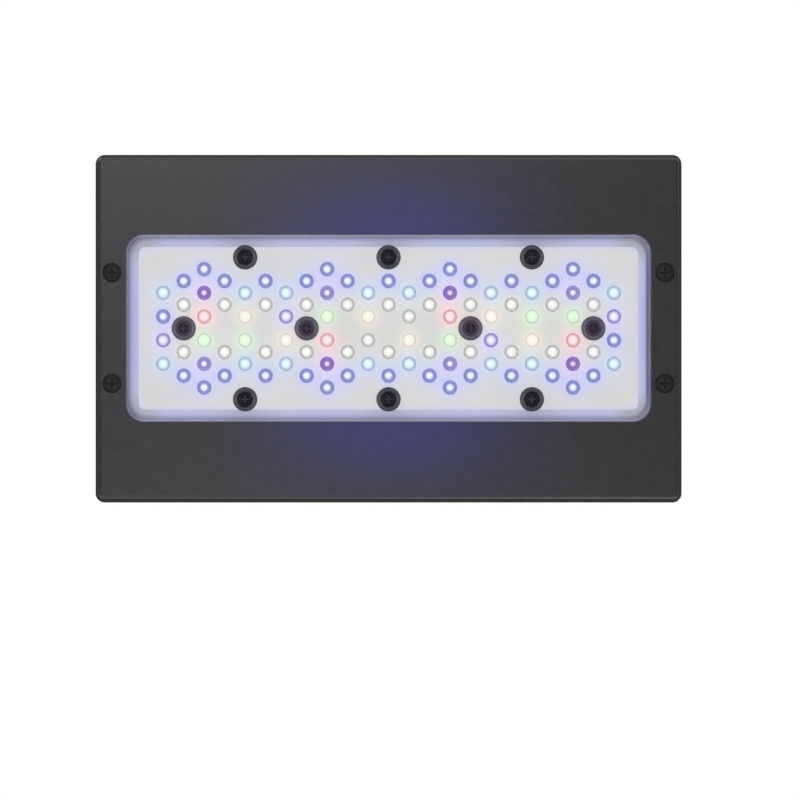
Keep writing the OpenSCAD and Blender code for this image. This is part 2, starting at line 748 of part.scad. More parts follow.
// Notch in the plate edge that lets a post pass, open towards the edge
module post_notch() {
    r = post_r + post_gap;
    translate([0, 0, plate_z0 - EPS]) {
        cylinder(r = r, h = plate_t + 2 * EPS);
        translate([-r, 0, 0]) cube([2 * r, r + post_margin, plate_t + 2 * EPS]);
    }
}

module screw_cone(gap) {
    head_h = plate_screw_head_r - plate_screw_r;
    translate([0, 0, plate_z1 - head_h])
        cylinder(r1 = plate_screw_r + gap, r2 = plate_screw_head_r + gap, h = head_h + gap);
}

// Plate whose overhanging long edges are the slide rails
module rail_plate() {
    core_l = plate_l - 2 * plate_corner_r;
    core_w = plate_w - 2 * plate_corner_r;
    vent_l = vent_x1 - vent_x0;
    color("#1b1f2a") difference() {
        union() {
            centred_box(core_l, core_w, plate_z0, plate_z1);
            rim_sweep(core_l, core_w) polygon([
                [0, plate_z0], [plate_corner_r - plate_bevel, plate_z0],
                [plate_corner_r, plate_z0 + plate_bevel], [plate_corner_r, plate_z1], [0, plate_z1]
            ]);
        }
        for (p = posts) translate([p[0], p[1], 0]) rotate([0, 0, p[1] < 0 ? 180 : 0]) post_notch();
        for (s = SIDES) translate([s * (vent_x0 + vent_x1) / 2, 0, 0])
            rounded_slab(vent_l, vent_w, vent_corner_r, plate_z0 - EPS, plate_z1 + EPS);
        drill([[0, 0]], fan_opening_r, plate_z0 - EPS, plate_z1 + EPS);
        drill(all_plate_screws, plate_screw_r + thread_gap, plate_z0 - EPS, plate_z1 + EPS);
        for (p = all_plate_screws) translate([p[0], p[1], 0]) screw_cone(thread_gap);
        drill([[control_x, inlet_y]], inlet_r + thread_gap, plate_z0 - EPS, plate_z1 + EPS);
        drill([[control_x, 0]], button_r + button_gap, plate_z0 - EPS, plate_z1 + EPS);
        drill([[control_x, -status_y]], status_r + thread_gap, plate_z0 - EPS, plate_z1 + EPS);
    }
}

// Countersunk screws: four into the heat sink walls, two through the spacers into the deck
module plate_screws() {
    socket_r = plate_screw_head_r / 2;
    socket_h = plate_t / 3;
    color("#0f1013") for (p = all_plate_screws) translate([p[0], p[1], 0]) difference() {
        union() {
            screw_cone(0);
            translate([0, 0, plate_z0 - plate_screw_l]) cylinder(r = plate_screw_r, h = plate_screw_l + plate_t);
        }
        translate([0, 0, plate_z1 - socket_h]) cylinder(r = socket_r, h = plate_t, $fn = HEX);
    }
}

// Turned post: stud in the heat sink, shank through the deck, round head above the plate.
// The head is a cap cut from a sphere, with a flat round the threaded hole.
module hanging_post() {
    rise = post_head_h;
    crown_r = sqrt(pow((post_r * post_r - post_top_r * post_top_r - rise * rise) / (2 * rise), 2)
        + post_r * post_r);
    centre_drop = (post_r * post_r - post_top_r * post_top_r - rise * rise) / (2 * rise);
    difference() {
        union() {
            translate([0, 0, base_z0 + side_gap]) cylinder(r = post_stud_r, h = base_z1 - base_z0);
            translate([0, 0, base_z1]) cylinder(r = post_shank_r, h = deck_z1 - base_z1);
            translate([0, 0, deck_z1]) cylinder(r = post_r, h = plate_z1 - deck_z1);
            intersection() {
                translate([0, 0, plate_z1 - centre_drop]) sphere(crown_r);
                translate([0, 0, plate_z1 - EPS]) cylinder(r = post_r, h = rise + EPS);
            }
        }
        translate([0, 0, post_z1 - post_thread_h]) cylinder(r = post_thread_r, h = post_thread_h + EPS);
    }
}

module hanging_posts() {
    color("#17181c") for (p = posts) translate([p[0], p[1], 0]) hanging_post();
}

module middle_spacers() {
    color("#17181c") difference() {
        drill(spacers, spacer_r, deck_z1, plate_z0);
        drill(spacers, plate_screw_r + thread_gap, deck_z1 - EPS, plate_z0 + EPS);
    }
}

// Square fan frame: round duct between two flanges, with arms to the motor seat
module fan_frame() {
    arm_start = (hub_r + bush_tube_r) / 2;
    arm_l = fan_bore_r + fan_duct_t / 2 - arm_start;
    color("#1d1e22") difference() {
        union() {
            difference() {
                union() {
                    rounded_slab(fan_w, fan_w, fan_hole_margin, fan_z0, fan_z0 + fan_flange_t);
                    rounded_slab(fan_w, fan_w, fan_hole_margin, fan_z1 - fan_flange_t, fan_z1);
                    translate([0, 0, fan_z0]) cylinder(r = fan_bore_r + fan_duct_t, h = fan_h);
                }
                translate([0, 0, fan_z0 - EPS]) cylinder(r = fan_bore_r, h = fan_h + 2 * EPS);
            }
            for (a = [45:90:315]) rotate([0, 0, a]) translate([arm_start, -fan_arm_w / 2, fan_z0])
                cube([arm_l, fan_arm_w, fan_arm_t]);
            translate([0, 0, fan_z0]) cylinder(r = hub_r, h = fan_arm_t);
            translate([0, 0, fan_z0]) cylinder(r = bush_tube_r, h = bush_z1 - fan_z0);
        }
        translate([0, 0, bush_z0]) cylinder(r = bush_r + thread_gap, h = fan_h);
        drill(fan_holes, fan_screw_r + thread_gap, fan_z0 - EPS, fan_z1 + EPS);
        drill(fan_holes, fan_head_r + head_gap, fan_z1 - fan_head_h, fan_z1 + EPS);
    }
}

module fan_bush() {
    color("#b08a4a") tube(bush_r, fan_shaft_r + shaft_gap, bush_z0, bush_z1);
}

// Motor stator: a ring with four poles, seated round the bush tube
module fan_stator() {
    slot_w = stator_r / 4;
    slot_r = (stator_r + bush_tube_r) / 2;
    color("#7a4a2a") difference() {
        tube(stator_r, bush_tube_r + thread_gap, fan_floor_z, bush_z1 - rotor_gap);
        for (a = [0:90:270]) rotate([0, 0, a]) translate([slot_r, -slot_w / 2, fan_z0])
            cube([stator_r, slot_w, fan_h]);
    }
}

// One blade: a slice of a cylinder wall, cut to the ring between hub and duct
module fan_blade() {
    rise = rotor_z1 - rotor_z0;
    chord = sqrt(pow(blade_chord, 2) + pow(rise, 2));
    back = sqrt(pow(blade_curve_r, 2) - pow(chord / 2, 2));
    centre_y = -back * rise / chord;
    centre_z = (rotor_z0 + rotor_z1) / 2 + back * blade_chord / chord;
    intersection() {
        tube(blade_r, hub_r - hub_wall / 2, rotor_z0, rotor_z1);
        translate([0, centre_y, centre_z]) rotate([0, 90, 0])
            tube(blade_curve_r + blade_t / 2, blade_curve_r - blade_t / 2, 0, fan_w);
        translate([0, -blade_chord / 2, rotor_z0]) cube([fan_w, blade_chord, rise]);
    }
}

module fan_rotor() {
    color("#2a2b30") {
        difference() {
            translate([0, 0, rotor_z0]) cylinder(r = hub_r, h = rotor_z1 - rotor_z0);
            translate([0, 0, rotor_z0 - EPS])
                cylinder(r = hub_inner_r, h = rotor_z1 - rotor_z0 - hub_top_t + EPS);
            translate([0, 0, rotor_z0]) cylinder(r = fan_shaft_r + thread_gap, h = fan_h);
        }
        for (i = [0:blade_count - 1]) rotate([0, 0, 360 * i / blade_count]) fan_blade();
    }
}

module rotor_magnet() {
    outer_r = hub_inner_r - thread_gap;
    color("#3a3a3e") tube(outer_r, outer_r - magnet_t, rotor_z0, rotor_z1 - hub_top_t);
}

module fan_shaft() {
    color("#c8ccd2") translate([0, 0, bush_z0 + side_gap])
        cylinder(r = fan_shaft_r, h = rotor_z1 - bush_z0 - side_gap);
}

module fan_screws() {
    seat_z = fan_z1 - fan_head_h;
    color("#101114") for (p = fan_holes) translate([p[0], p[1], seat_z])
        cap_screw(fan_screw_r, seat_z - base_z1 + base_t / 4, fan_head_r, fan_head_h);
}

// Round grille: rim under the plate, concentric rings and spokes in the opening
module fan_guard() {
    guard_r = fan_opening_r - guard_gap;
    outer_in = guard_r - guard_outer_w;
    top_z = plate_z1 - guard_drop;
    ring_step = (outer_in - guard_disc_r) / (guard_ring_count + 1);
    color("#15161a") {
        tube(fan_opening_r + guard_rim_w, outer_in, fan_z1, plate_z0);
        tube(guard_r, outer_in, fan_z1, top_z);
        translate([0, 0, plate_z0]) cylinder(r = guard_disc_r, h = top_z - plate_z0);
        for (i = [1:guard_ring_count]) {
            r = guard_disc_r + i * ring_step;
            tube(r + guard_bar_w / 2, r - guard_bar_w / 2, plate_z0, top_z);
        }
        for (i = [0:guard_spoke_count - 1]) rotate([0, 0, 360 * i / guard_spoke_count])
            translate([guard_disc_r / 2, -guard_bar_w / 2, plate_z0])
                cube([outer_in + guard_outer_w / 2 - guard_disc_r / 2, guard_bar_w, top_z - plate_z0]);
    }
}

// Low-voltage socket with its mouth in the plate
module power_inlet() {
    collar_z1 = plate_z1 + inlet_collar_t;
    color("#0e0e10") translate([control_x, inlet_y, 0]) difference() {
        union() {
            translate([0, 0, plate_z0 - inlet_l]) cylinder(r = inlet_r, h = inlet_l + plate_t);
            translate([0, 0, plate_z1]) cylinder(r = inlet_collar_r, h = inlet_collar_t);
        }
        translate([0, 0, collar_z1 - inlet_bore_h]) cylinder(r = inlet_bore_r, h = inlet_bore_h + EPS);
    }
}

module inlet_pin() {
    color("#d9c27a") translate([control_x, inlet_y, plate_z1 + inlet_collar_t - inlet_bore_h])
        cylinder(r = inlet_pin_r, h = inlet_bore_h * 0.9);
}

module inlet_nut() {
    color("#9a9ca2") translate([control_x, inlet_y, plate_z0 - inlet_nut_t]) difference() {
        cylinder(r = inlet_nut_r, h = inlet_nut_t, $fn = HEX);
        translate([0, 0, -EPS]) cylinder(r = inlet_r + thread_gap, h = inlet_nut_t + 2 * EPS);
    }
}

// Push button kept under the plate by its flange
module control_button() {
    color("#33353c") translate([control_x, 0, button_z0]) {
        cylinder(r = button_r, h = plate_z1 + button_rise - button_z0);
        cylinder(r = button_r + button_flange_w, h = button_flange_t);
    }
}

module switch_plunger() {
    color("#c8c8c8") translate([control_x, 0, plunger_z0]) cylinder(r = plunger_r, h = button_z0 - plunger_z0);
}

module button_switch() {
    color("#202226") translate([control_x, 0, 0]) difference() {
        centred_box(switch_w, switch_w, switch_z0, switch_z1);
        translate([0, 0, switch_z0 + side_gap / 2]) cylinder(r = plunger_r + side_gap, h = switch_h);
    }
}

module switch_board() {
    color("#1f5a3a") difference() {
        translate([control_x, 0, 0])
            centred_box(switch_board_w, switch_board_l, switch_board_z0, switch_z0);
        drill(switch_pillars, circuit_screw_r + thread_gap, switch_board_z0 - EPS, switch_z0 + EPS);
    }
}

// Light pipe from the switch board up through the plate
module status_light() {
    color("#dcecf4") drill([[control_x, -status_y]], status_r, switch_z0, plate_z1 + status_rise);
}

module circuit_board(l, y, places) {
    difference() {
        translate([0, y, 0]) centred_box(l, circuit_w, circuit_z0, circuit_z1);
        drill(places, circuit_screw_r + thread_gap, circuit_z0 - EPS, circuit_z1 + EPS);
    }
}

module driver_board() {
    color("#1f5a3a") circuit_board(driver_l, -circuit_y, driver_pillars);
}

function driver_x(i) = (i - (coil_count - 1) / 2) * (driver_l - 4 * pillar_margin) / coil_count;

module driver_coils() {
    color("#3a3d44") for (i = [0:coil_count - 1])
        drill([[driver_x(i), -circuit_y - circuit_w / 5]], coil_r, circuit_z1, circuit_z1 + driver_part_h);
}

module driver_capacitors() {
    color("#c4c8ce") for (i = [0:coil_count - 1])
        drill([[driver_x(i), -circuit_y + circuit_w / 5]], capacitor_r, circuit_z1, circuit_z1 + driver_part_h);
}

module driver_connectors() {
    connector_l = circuit_w - 2 * (pillar_margin + circuit_head_r + connector_gap);
    color("#f0efe6") for (s = SIDES)
        translate([s * (driver_l - connector_w) / 2, -circuit_y, 0])
            centred_box(connector_w, connector_l, circuit_z1, circuit_z1 + driver_part_h);
}

module control_board() {
    color("#1f5a3a") circuit_board(control_l, circuit_y, control_pillars);
}

module radio_module() {
    color("#c8ccd0") translate([-control_l / 4, circuit_y, 0])
        centred_box(radio_l, radio_w, circuit_z1, circuit_z1 + radio_h);
}

module controller_chip() {
    color("#121316") translate([control_l / 4, circuit_y, 0])
        centred_box(chip_w, chip_w, circuit_z1, circuit_z1 + chip_h);
}

module circuit_screws() {
    color("#a8acb2") {
        for (p = concat(driver_pillars, control_pillars)) translate([p[0], p[1], circuit_z1])
            cap_screw(circuit_screw_r, circuit_t + pillar_h - side_gap, circuit_head_r, circuit_head_h);
        for (p = switch_pillars) translate([p[0], p[1], switch_z0])
            cap_screw(circuit_screw_r, circuit_t + pillar_h, circuit_head_r, circuit_head_h);
    }
}

lower_housing();
housing_screws();
lens_gasket();
lens_cover();
reflector_frame();
led_board();
led_emitters();
blue_leds();
white_leds();
cyan_leds();
violet_leds();
ultraviolet_leds();
red_leds();
green_leds();
warm_leds();
board_clamps();
board_screws();
thermal_pad();
heat_sink();
top_deck();
rail_plate();
plate_screws();
hanging_posts();
middle_spacers();
fan_frame();
fan_bush();
fan_stator();
fan_rotor();
rotor_magnet();
fan_shaft();
fan_screws();
fan_guard();
power_inlet();
inlet_pin();
inlet_nut();
control_button();
switch_plunger();
button_switch();
switch_board();
status_light();
driver_board();
driver_coils();
driver_capacitors();
driver_connectors();
control_board();
radio_module();
controller_chip();
circuit_screws();
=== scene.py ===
# %% [markdown]
# # Dressing an aquarium light
# The light is a flat tray that hangs over a tank with a lit window underneath.
# Its exact solids come from the CAD frame, so this lesson doesn't build the housing again.
# It sets up the camera, gives every piece a finish made of shader nodes, and models by hand
# the small parts of the lit face: the LEDs on their board, the clamps and the screws.

# %% Load the frame
import math

import bpy
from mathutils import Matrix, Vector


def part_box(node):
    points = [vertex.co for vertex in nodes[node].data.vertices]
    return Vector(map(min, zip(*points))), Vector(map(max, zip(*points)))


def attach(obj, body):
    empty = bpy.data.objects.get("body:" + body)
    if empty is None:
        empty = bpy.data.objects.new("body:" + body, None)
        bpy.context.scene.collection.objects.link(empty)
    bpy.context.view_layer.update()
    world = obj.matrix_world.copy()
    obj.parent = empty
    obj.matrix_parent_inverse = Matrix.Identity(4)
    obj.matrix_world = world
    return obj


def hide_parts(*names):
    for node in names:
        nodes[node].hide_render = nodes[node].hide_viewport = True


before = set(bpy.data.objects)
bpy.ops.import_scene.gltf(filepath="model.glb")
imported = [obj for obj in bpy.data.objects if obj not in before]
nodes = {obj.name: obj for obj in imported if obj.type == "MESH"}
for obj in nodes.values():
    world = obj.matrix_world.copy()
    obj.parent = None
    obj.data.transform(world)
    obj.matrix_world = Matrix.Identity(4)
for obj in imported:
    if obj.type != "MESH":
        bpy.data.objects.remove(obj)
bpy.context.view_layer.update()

# %% [markdown]
# ## Camera
# The photograph looks straight up at the lit face, so the camera stands below it and looks up.
# It stands three metres away, where hardly any perspective is left. At that distance the lens has to be
# long, or the light would be a small patch in the picture.
# A half turn about X points the camera upwards, with the picture's right along +X and its top along -Y.
# The camera stands a little off the middle, because the light isn't centred in the picture.

# %% Camera under the light
MM = 0.001
LENS, SENSOR = 266, 36
CAMERA_PLACE = (5.85 * MM, 36.5 * MM, -3.0)
HALF_TURN = math.pi
camera_data = bpy.data.cameras.new("view_from_below")
camera_data.lens = LENS
camera_data.sensor_width = SENSOR
camera = bpy.data.objects.new("view_from_below", camera_data)
camera.location = CAMERA_PLACE
camera.rotation_euler = (HALF_TURN, 0, 0)
bpy.context.scene.collection.objects.link(camera)
bpy.context.scene.camera = camera
bpy.context.scene.view_settings.view_transform = "Standard"
print("camera at", [round(c, 4) for c in camera.location])

# %% [markdown]
# ## Shader sums
# A finish is a little sum over the surface: noise times a strength, a mask, one minus a mask.
# Written node by node that gets long, so one small class wraps an output socket.
# Python's own plus and times then add the Math nodes, and every other node comes from one method.
# The other methods are shorthands for nodes and sums that come up again and again.

# %% Wire: a socket that can be used in sums
X, Y, Z = 0, 1, 2
FACTOR, UNDER, OVER, MIXED = 0, 6, 7, 2  # sockets of a Mix node that is set to colours
NOISE_LOW, NOISE_HIGH = 0.3, 0.7


class Wire:
    def __init__(self, tree, socket):
        self.tree = tree
        self.socket = socket

    def node(self, kind, settings=(), links=(), out=0):
        made = self.tree.nodes.new("ShaderNode" + kind)
        for key, value in dict(settings).items():
            if key == "stops":
                ramp = made.color_ramp
                ramp.elements[0].position = value[0][0]
                ramp.elements[1].position = value[-1][0]
                for place, _ in value[1:-1]:
                    ramp.elements.new(place)
                for element, (_, colour) in zip(ramp.elements, value):
                    element.color = colour
            else:
                setattr(made, key, value)
        for key, value in dict(links).items():
            if isinstance(value, Wire):
                self.tree.links.new(value.socket, made.inputs[key])
            else:
                made.inputs[key].default_value = value
        return Wire(self.tree, made.outputs[out])

    def sum(self, operation, first, second=0.0):
        return self.node("Math", {"operation": operation}, {0: first, 1: second})

    def __add__(self, other):
        return self.sum("ADD", self, other)

    def __sub__(self, other):
        return self.sum("SUBTRACT", self, other)

    def __rsub__(self, other):
        return self.sum("SUBTRACT", other, self)

    def __mul__(self, other):
        return self.sum("MULTIPLY", self, other)

    def __neg__(self):
        return self.sum("MULTIPLY", self, -1)

    def __abs__(self):
        return self.sum("ABSOLUTE", self)

    __radd__ = __add__
    __rmul__ = __mul__

    def rise(self, low, high):
        # 0 up to low, 1 from high on, and an eased step between them
        ease = {"interpolation_type": "SMOOTHSTEP"}
        return self.node("MapRange", ease, {"Value": self, "From Min": low, "From Max": high})

    def contrast(self):
        # Noise keeps near its middle, so this spreads it from 0 to 1
        return self.rise(NOISE_LOW, NOISE_HIGH)

    def mixed(self, other, share):
        return share * self + (1 - share) * other

    def vary(self, start, amount):
        return start + amount * self

    def blend(self, under, over):
        sockets = {FACTOR: self, UNDER: under, OVER: over}
        return self.node("Mix", {"data_type": "RGBA"}, sockets, out=MIXED)

    def tint(self, colour, share=1.0):
        # Lays a coloured filter over a colour
        filtered = {"data_type": "RGBA", "blend_type": "MULTIPLY"}
        return self.node("Mix", filtered, {FACTOR: share, UNDER: self, OVER: colour}, out=MIXED)

    def axis(self, number):
        return self.node("SeparateXYZ", links={0: self}, out=number)

    def noise(self, scale, detail=2.0, stretch=(1, 1, 1)):
        place = self.node("Mapping", links={"Vector": self, "Scale": stretch})
        return self.node("TexNoise", links={"Vector": place, "Scale": scale, "Detail": detail})

    def feed(self, shader, name):
        self.tree.links.new(self.socket, shader.inputs[name])


print("sums:", [name for name in vars(Wire) if not name.startswith("__")])

# %% [markdown]
# ## Colours and materials
# Colours are read off a picture as numbers from 0 to 255, but shaders count in linear light, where
# half grey is only a fifth of white. One function turns the first into the second.
# Another starts a material and hands out what every finish needs: the main shader, and the Object
# coordinates that its patterns start from, which stay with the piece wherever it is seen from.

# %% Colours and new materials
WHITE, BLACK = (1, 1, 1, 1), (0, 0, 0, 1)
FULL = 255
KNEE, SLOPE, OFFSET, POWER = 0.04045, 12.92, 0.055, 2.4  # the curve of screen colours


def linear(level):
    share = level / FULL
    return share / SLOPE if share < KNEE else ((share + OFFSET) / (1 + OFFSET)) ** POWER


def shade(red, green, blue):
    return (linear(red), linear(green), linear(blue), 1)


def new_finish(name, **constants):
    material = bpy.data.materials.new(name)
    material.use_nodes = True
    tree = material.node_tree
    shader = tree.nodes["Principled BSDF"]
    for socket, value in constants.items():
        shader.inputs[socket.replace("_", " ")].default_value = value
    return material, shader, Wire(tree, tree.nodes.new("ShaderNodeTexCoord").outputs["Object"])


print("half grey is", round(linear(FULL / 2), 3), "in linear light")

# %% [markdown]
# ## Background
# The picture is a cut-out on white. A white world that lit everything would wash the dark coat out,
# so the world is white only where the camera, a gloss or a clear piece looks at it, and dim for the rest.
# The Light Path node tells which kind of look it is.

# %% White world with dim light
AMBIENT = 0.22
world = bpy.data.worlds.new("white_studio")
world.use_nodes = True
bpy.context.scene.world = world
background = world.node_tree.nodes["Background"]
ray = Wire(world.node_tree, world.node_tree.nodes.new("ShaderNodeLightPath").outputs["Is Camera Ray"])
gloss_ray = ray.node("LightPath", out="Is Glossy Ray")
clear_ray = ray.node("LightPath", out="Is Transmission Ray")
seen = ray.sum("MAXIMUM", ray.sum("MAXIMUM", ray, gloss_ray), clear_ray)
seen.vary(AMBIENT, 1 - AMBIENT).feed(background, "Strength")
background.inputs["Color"].default_value = WHITE
print("the world looks white and lights with", AMBIENT)

# %% [markdown]
# ## Lamps
# The face gets two large soft lamps from below, beside the camera towards the two long edges. Their
# gloss makes the coat paler at the upper left and in the lower middle, while the matt board stays even.
# Three more lamps above light the top and the sides for the other views.

# %% Soft lamps
FACE_LAMP, ROOM_LAMP = 0.7, 1.1  # widths in metres


def soft_lamp(name, place, size, level):
    # An area lamp aimed at the light; level is how bright it makes a white card there
    data = bpy.data.lights.new(name, "AREA")
    data.shape = "DISK"
    data.size = size
    distance = math.dist(place, (0, 0, 0))
    data.energy = level * (math.pi * distance) ** 2
    lamp = bpy.data.objects.new(name, data)
    lamp.location = place
    lamp.rotation_euler = (-lamp.location).to_track_quat("-Z", "Y").to_euler()
    bpy.context.scene.collection.objects.link(lamp)
    print(name, "at", place, "power", round(data.energy, 1))


soft_lamp("upper_face_lamp", (-0.2, -0.5, -2.5), FACE_LAMP, level=0.425)
soft_lamp("lower_face_lamp", (-0.1, 0.5, -2.5), FACE_LAMP, level=0.295)
soft_lamp("key_lamp", (-1.3, -1.9, 1.7), ROOM_LAMP, level=0.62)
soft_lamp("side_lamp", (2.1, -0.7, 1.2), ROOM_LAMP, level=0.34)
soft_lamp("back_lamp", (0.5, 2.2, 1.5), ROOM_LAMP, level=0.4)

# %% [markdown]
# ## Floor
# From above, the light lies on a pale floor that catches its shadow. From below, the floor would hide
# everything, so it shows only its upper side, and only to the camera. Far from the light it fades into
# plain white, which hides where the floor ends.

# %% Floor that is there from above only
FLOOR_WIDTH, FLOOR_DROP = 12, 0.5 * MM
FLOOR_TONE = (0.95, 0.95, 0.96, 1)
FLOOR_FADE = (0.22, 0.9)  # metres from the middle
bpy.ops.object.select_all(action="DESELECT")
bpy.ops.mesh.primitive_plane_add(size=FLOOR_WIDTH, location=(0, 0, -FLOOR_DROP))
floor = bpy.context.object
floor.name = "floor"
bpy.ops.object.transform_apply(location=True)
floor_look, floor_shader, place = new_finish(
    "pale_floor", Base_Color=FLOOR_TONE, Roughness=0.9, Specular_IOR_Level=0.0)
distance = place.node("VectorMath", {"operation": "LENGTH"}, {0: place}, out="Value")
white = place.node("Emission", links={"Color": WHITE, "Strength": 1.0})
clear = place.node("BsdfTransparent")
lit = Wire(floor_look.node_tree, floor_shader.outputs[0])
faded = place.node("MixShader", links={0: distance.rise(*FLOOR_FADE), 1: lit, 2: white})
shown = place.node("LightPath", out="Is Camera Ray") * (1 - place.node("NewGeometry", out="Backfacing"))
floor_mix = place.node("MixShader", links={0: shown, 1: clear, 2: faded})
floor_mix.feed(floor_look.node_tree.nodes["Material Output"], "Surface")
floor.data.materials.append(floor_look)
print("floor spans", [round(c, 2) for c in floor.dimensions])

# %% [markdown]
# ## Finishing CAD nodes
# A CAD node keeps its mesh, so only its material changes. Most finishes have a fine grain that moves the
# colour, the roughness and the surface a little, and edges that look softly rounded. The rounding comes
# from the Bevel node, which bends the shading at a sharp corner without touching the mesh. Where the
# rounded normal leaves the true one, an edge is near, so the same node also tells where a finish is
# rubbed.

# %% Helpers for a grained finish
EDGE_SAMPLES = 4
EDGE_TURN = (0.02, 0.25)  # how far the rounded normal has left the true one


def dress(finish, *names):
    for name in names:
        for number in range(len(nodes[name].material_slots)):
            nodes[name].material_slots[number].material = finish
    print(finish.name, "on", ", ".join(names))


def grain(shader, place, height, depth, edge=0.25 * MM):
    # Gives a shader a bumpy surface with softened edges, and returns a mask of those edges
    soft_edge = place.node("Bevel", {"samples": EDGE_SAMPLES}, {"Radius": edge})
    heights = {"Strength": 1.0, "Distance": depth, "Height": height, "Normal": soft_edge}
    place.node("Bump", links=heights).feed(shader, "Normal")
    both = {0: soft_edge, 1: place.node("NewGeometry", out="Normal")}
    match = place.node("VectorMath", {"operation": "DOT_PRODUCT"}, both, out="Value")
    return (1 - match).rise(*EDGE_TURN)


print("slots to dress:", sum(len(node.material_slots) for node in nodes.values()))

# %% [markdown]
# ## Powder coat
# The housing is cast aluminium under a charcoal powder coat. Seen close, such a coat is a skin of tiny
# melted grains, so a fine noise drives its bump and a coarser one its roughness, and its colour follows
# both.
# The flat face is rubbed smooth and has a faint gloss. The sides are left coarse and dead matt, so they
# draw a dark line round the face: a second shader without gloss takes over where the surface turns
# upright. A painted highlight makes the rounded edges paler, strongly along the long edges and a little
# along the short ones, which are kept darker as painted shade.

# %% Charcoal coat
FINE, CLUMPED, COARSE = 1500, 620, 160  # grains in a metre
FACE_TONES = (shade(43, 43, 46), shade(50, 50, 54))
# painted highlight on the rounded edges, kept darker as painted shade on the short ones
PAINTED_EDGE_TONES = (shade(56, 56, 59), shade(84, 84, 88))  # short and long edges
SIDE_TONES = (shade(55, 55, 56), shade(83, 83, 84))
FACE_NOISE = (0.25, 0.75)
LONG_EDGE = (0.08, 0.2)  # how far a normal leans to the front or back
FLAT, UPRIGHT = (0.9, 0.99), (0.2, 0.5)  # how far it points up or down


def powder_coat(name):
    coat, shader, place = new_finish(name, Specular_IOR_Level=0.064)
    fine = place.noise(FINE)
    coarse = place.noise(COARSE, detail=3)
    normal = place.node("NewGeometry", out="Normal")
    level = abs(normal.axis(Z))
    face_tone = fine.mixed(coarse, share=0.55).rise(*FACE_NOISE).blend(*FACE_TONES)
    # painted highlight and shade on the rounded edges
    painted_edge_tone = abs(normal.axis(Y)).rise(*LONG_EDGE).blend(*PAINTED_EDGE_TONES)
    (1 - level.rise(*FLAT)).blend(face_tone, painted_edge_tone).feed(shader, "Base Color")
    coarse.vary(start=0.19, amount=0.06).feed(shader, "Roughness")
    grain(shader, place, fine, depth=0.02 * MM)
    matt = coat.node_tree.nodes.new("ShaderNodeBsdfPrincipled")
    matt.inputs["Specular IOR Level"].default_value = 0.0
    clumps = fine.mixed(place.noise(CLUMPED), share=0.7).contrast()
    clumps.blend(*SIDE_TONES).feed(matt, "Base Color")
    grain(matt, place, fine, depth=0.06 * MM)
    smooth_part = Wire(coat.node_tree, shader.outputs[0])
    matt_part = Wire(coat.node_tree, matt.outputs[0])
    on_side = 1 - level.rise(*UPRIGHT)
    skin = place.node("MixShader", links={0: on_side, 1: smooth_part, 2: matt_part})
    skin.feed(coat.node_tree.nodes["Material Output"], "Surface")
    return coat, shader, matt, place


deck_coat = powder_coat("deck_coat")[0]
dress(deck_coat, "top_deck")

# %% [markdown]
# ## Blue light on the housing
# Blue light from the window spills over the middle of the face, above and below the window, and fades
# towards the ends. Lamps could throw it, but a faint glow of the coat itself is easier to place: a mask
# over X and Y adds it on the flat face alone.
# The thin wall of the window glows too. It runs round the window's corners, so it is found by its
# distance from the window's core, the rectangle that joins the middles of the four corner arcs.

# %% Housing coat, with the spill of blue light
FLANGE = 11.4 * MM  # how far the lens reaches out from the core
CORE_X, CORE_Y = (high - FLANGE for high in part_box("lens_cover")[1][:2])
SPILL_MIDDLE, SPILL_REACH = 1.5 * MM, 98 * MM
SPILL_FADE, SPILL_LOSS = (45 * MM, 95 * MM), 0.95
SPILL_BLUE = (0.004, 0.004, 0.104, 1)
OFF_FACE, PAST_WINDOW = (0.2 * MM, 1.2 * MM), (47.3 * MM, 47.8 * MM)
WALL_EDGE = (9.3 * MM, 9.6 * MM)
WALL_GLOW = (0.085, 0.08, 0.125, 1)


def past_core(place, inwards=0.0):
    # How far a point lies outside the core; a core made smaller by "inwards" has rounder corners
    past_x = place.sum("MAXIMUM", abs(place.axis(X)) - (CORE_X - inwards))
    past_y = place.sum("MAXIMUM", abs(place.axis(Y)) - (CORE_Y - inwards))
    return place.sum("SQRT", past_x * past_x + past_y * past_y)


def glow(shader, mask, colour):
    mask.blend(BLACK, colour).feed(shader, "Emission Color")
    shader.inputs["Emission Strength"].default_value = 1.0


housing_coat, shader, matt, place = powder_coat("housing_coat")
along = 1 - abs(place.axis(X) - SPILL_MIDDLE).rise(0.0, SPILL_REACH)
across = abs(place.axis(Y))
spill = along * (1 - SPILL_LOSS * across.rise(*SPILL_FADE))
on_face = (1 - place.axis(Z).rise(*OFF_FACE)) * across.rise(*PAST_WINDOW)
glow(shader, spill * on_face, SPILL_BLUE)
glow(matt, 1 - past_core(place).rise(*WALL_EDGE), WALL_GLOW)
dress(housing_coat, "lower_housing")

# %% [markdown]
# ## Dark anodised metal
# The plate and the heat sink are aluminium with a blue-black anodised skin. Drawn and sawn metal keeps
# fine streaks along its length, so the noise is stretched along X before it reaches the roughness.
# The posts and the spacers are cut from drawn bar, whose streaks run along Z, and the oiled screws are
# glossier and have no streaks. Along the edges the skin is worn in patches, and bare metal shows a little.

# %% Anodised and blackened metals
STREAKS, METAL_CLOUDS = 1400, 60
BARE_METAL = shade(118, 121, 130)


def dark_metal(name, low, high, rough, stretch):
    metal, shader, place = new_finish(name, Metallic=0.5, Specular_IOR_Level=0.25)
    streak = place.noise(STREAKS, stretch=stretch)
    cloud = place.noise(METAL_CLOUDS)
    skin = streak.mixed(cloud, share=0.6).contrast().blend(low, high)
    rubbed = grain(shader, place, streak, depth=0.012 * MM, edge=0.5 * MM)
    (rubbed * cloud).blend(skin, BARE_METAL).feed(shader, "Base Color")
    streak.vary(rough, amount=0.16).feed(shader, "Roughness")
    return metal


def dress_rows(make_finish, rows):
    for *look, names in rows:
        dress(make_finish(*look), *names.split())


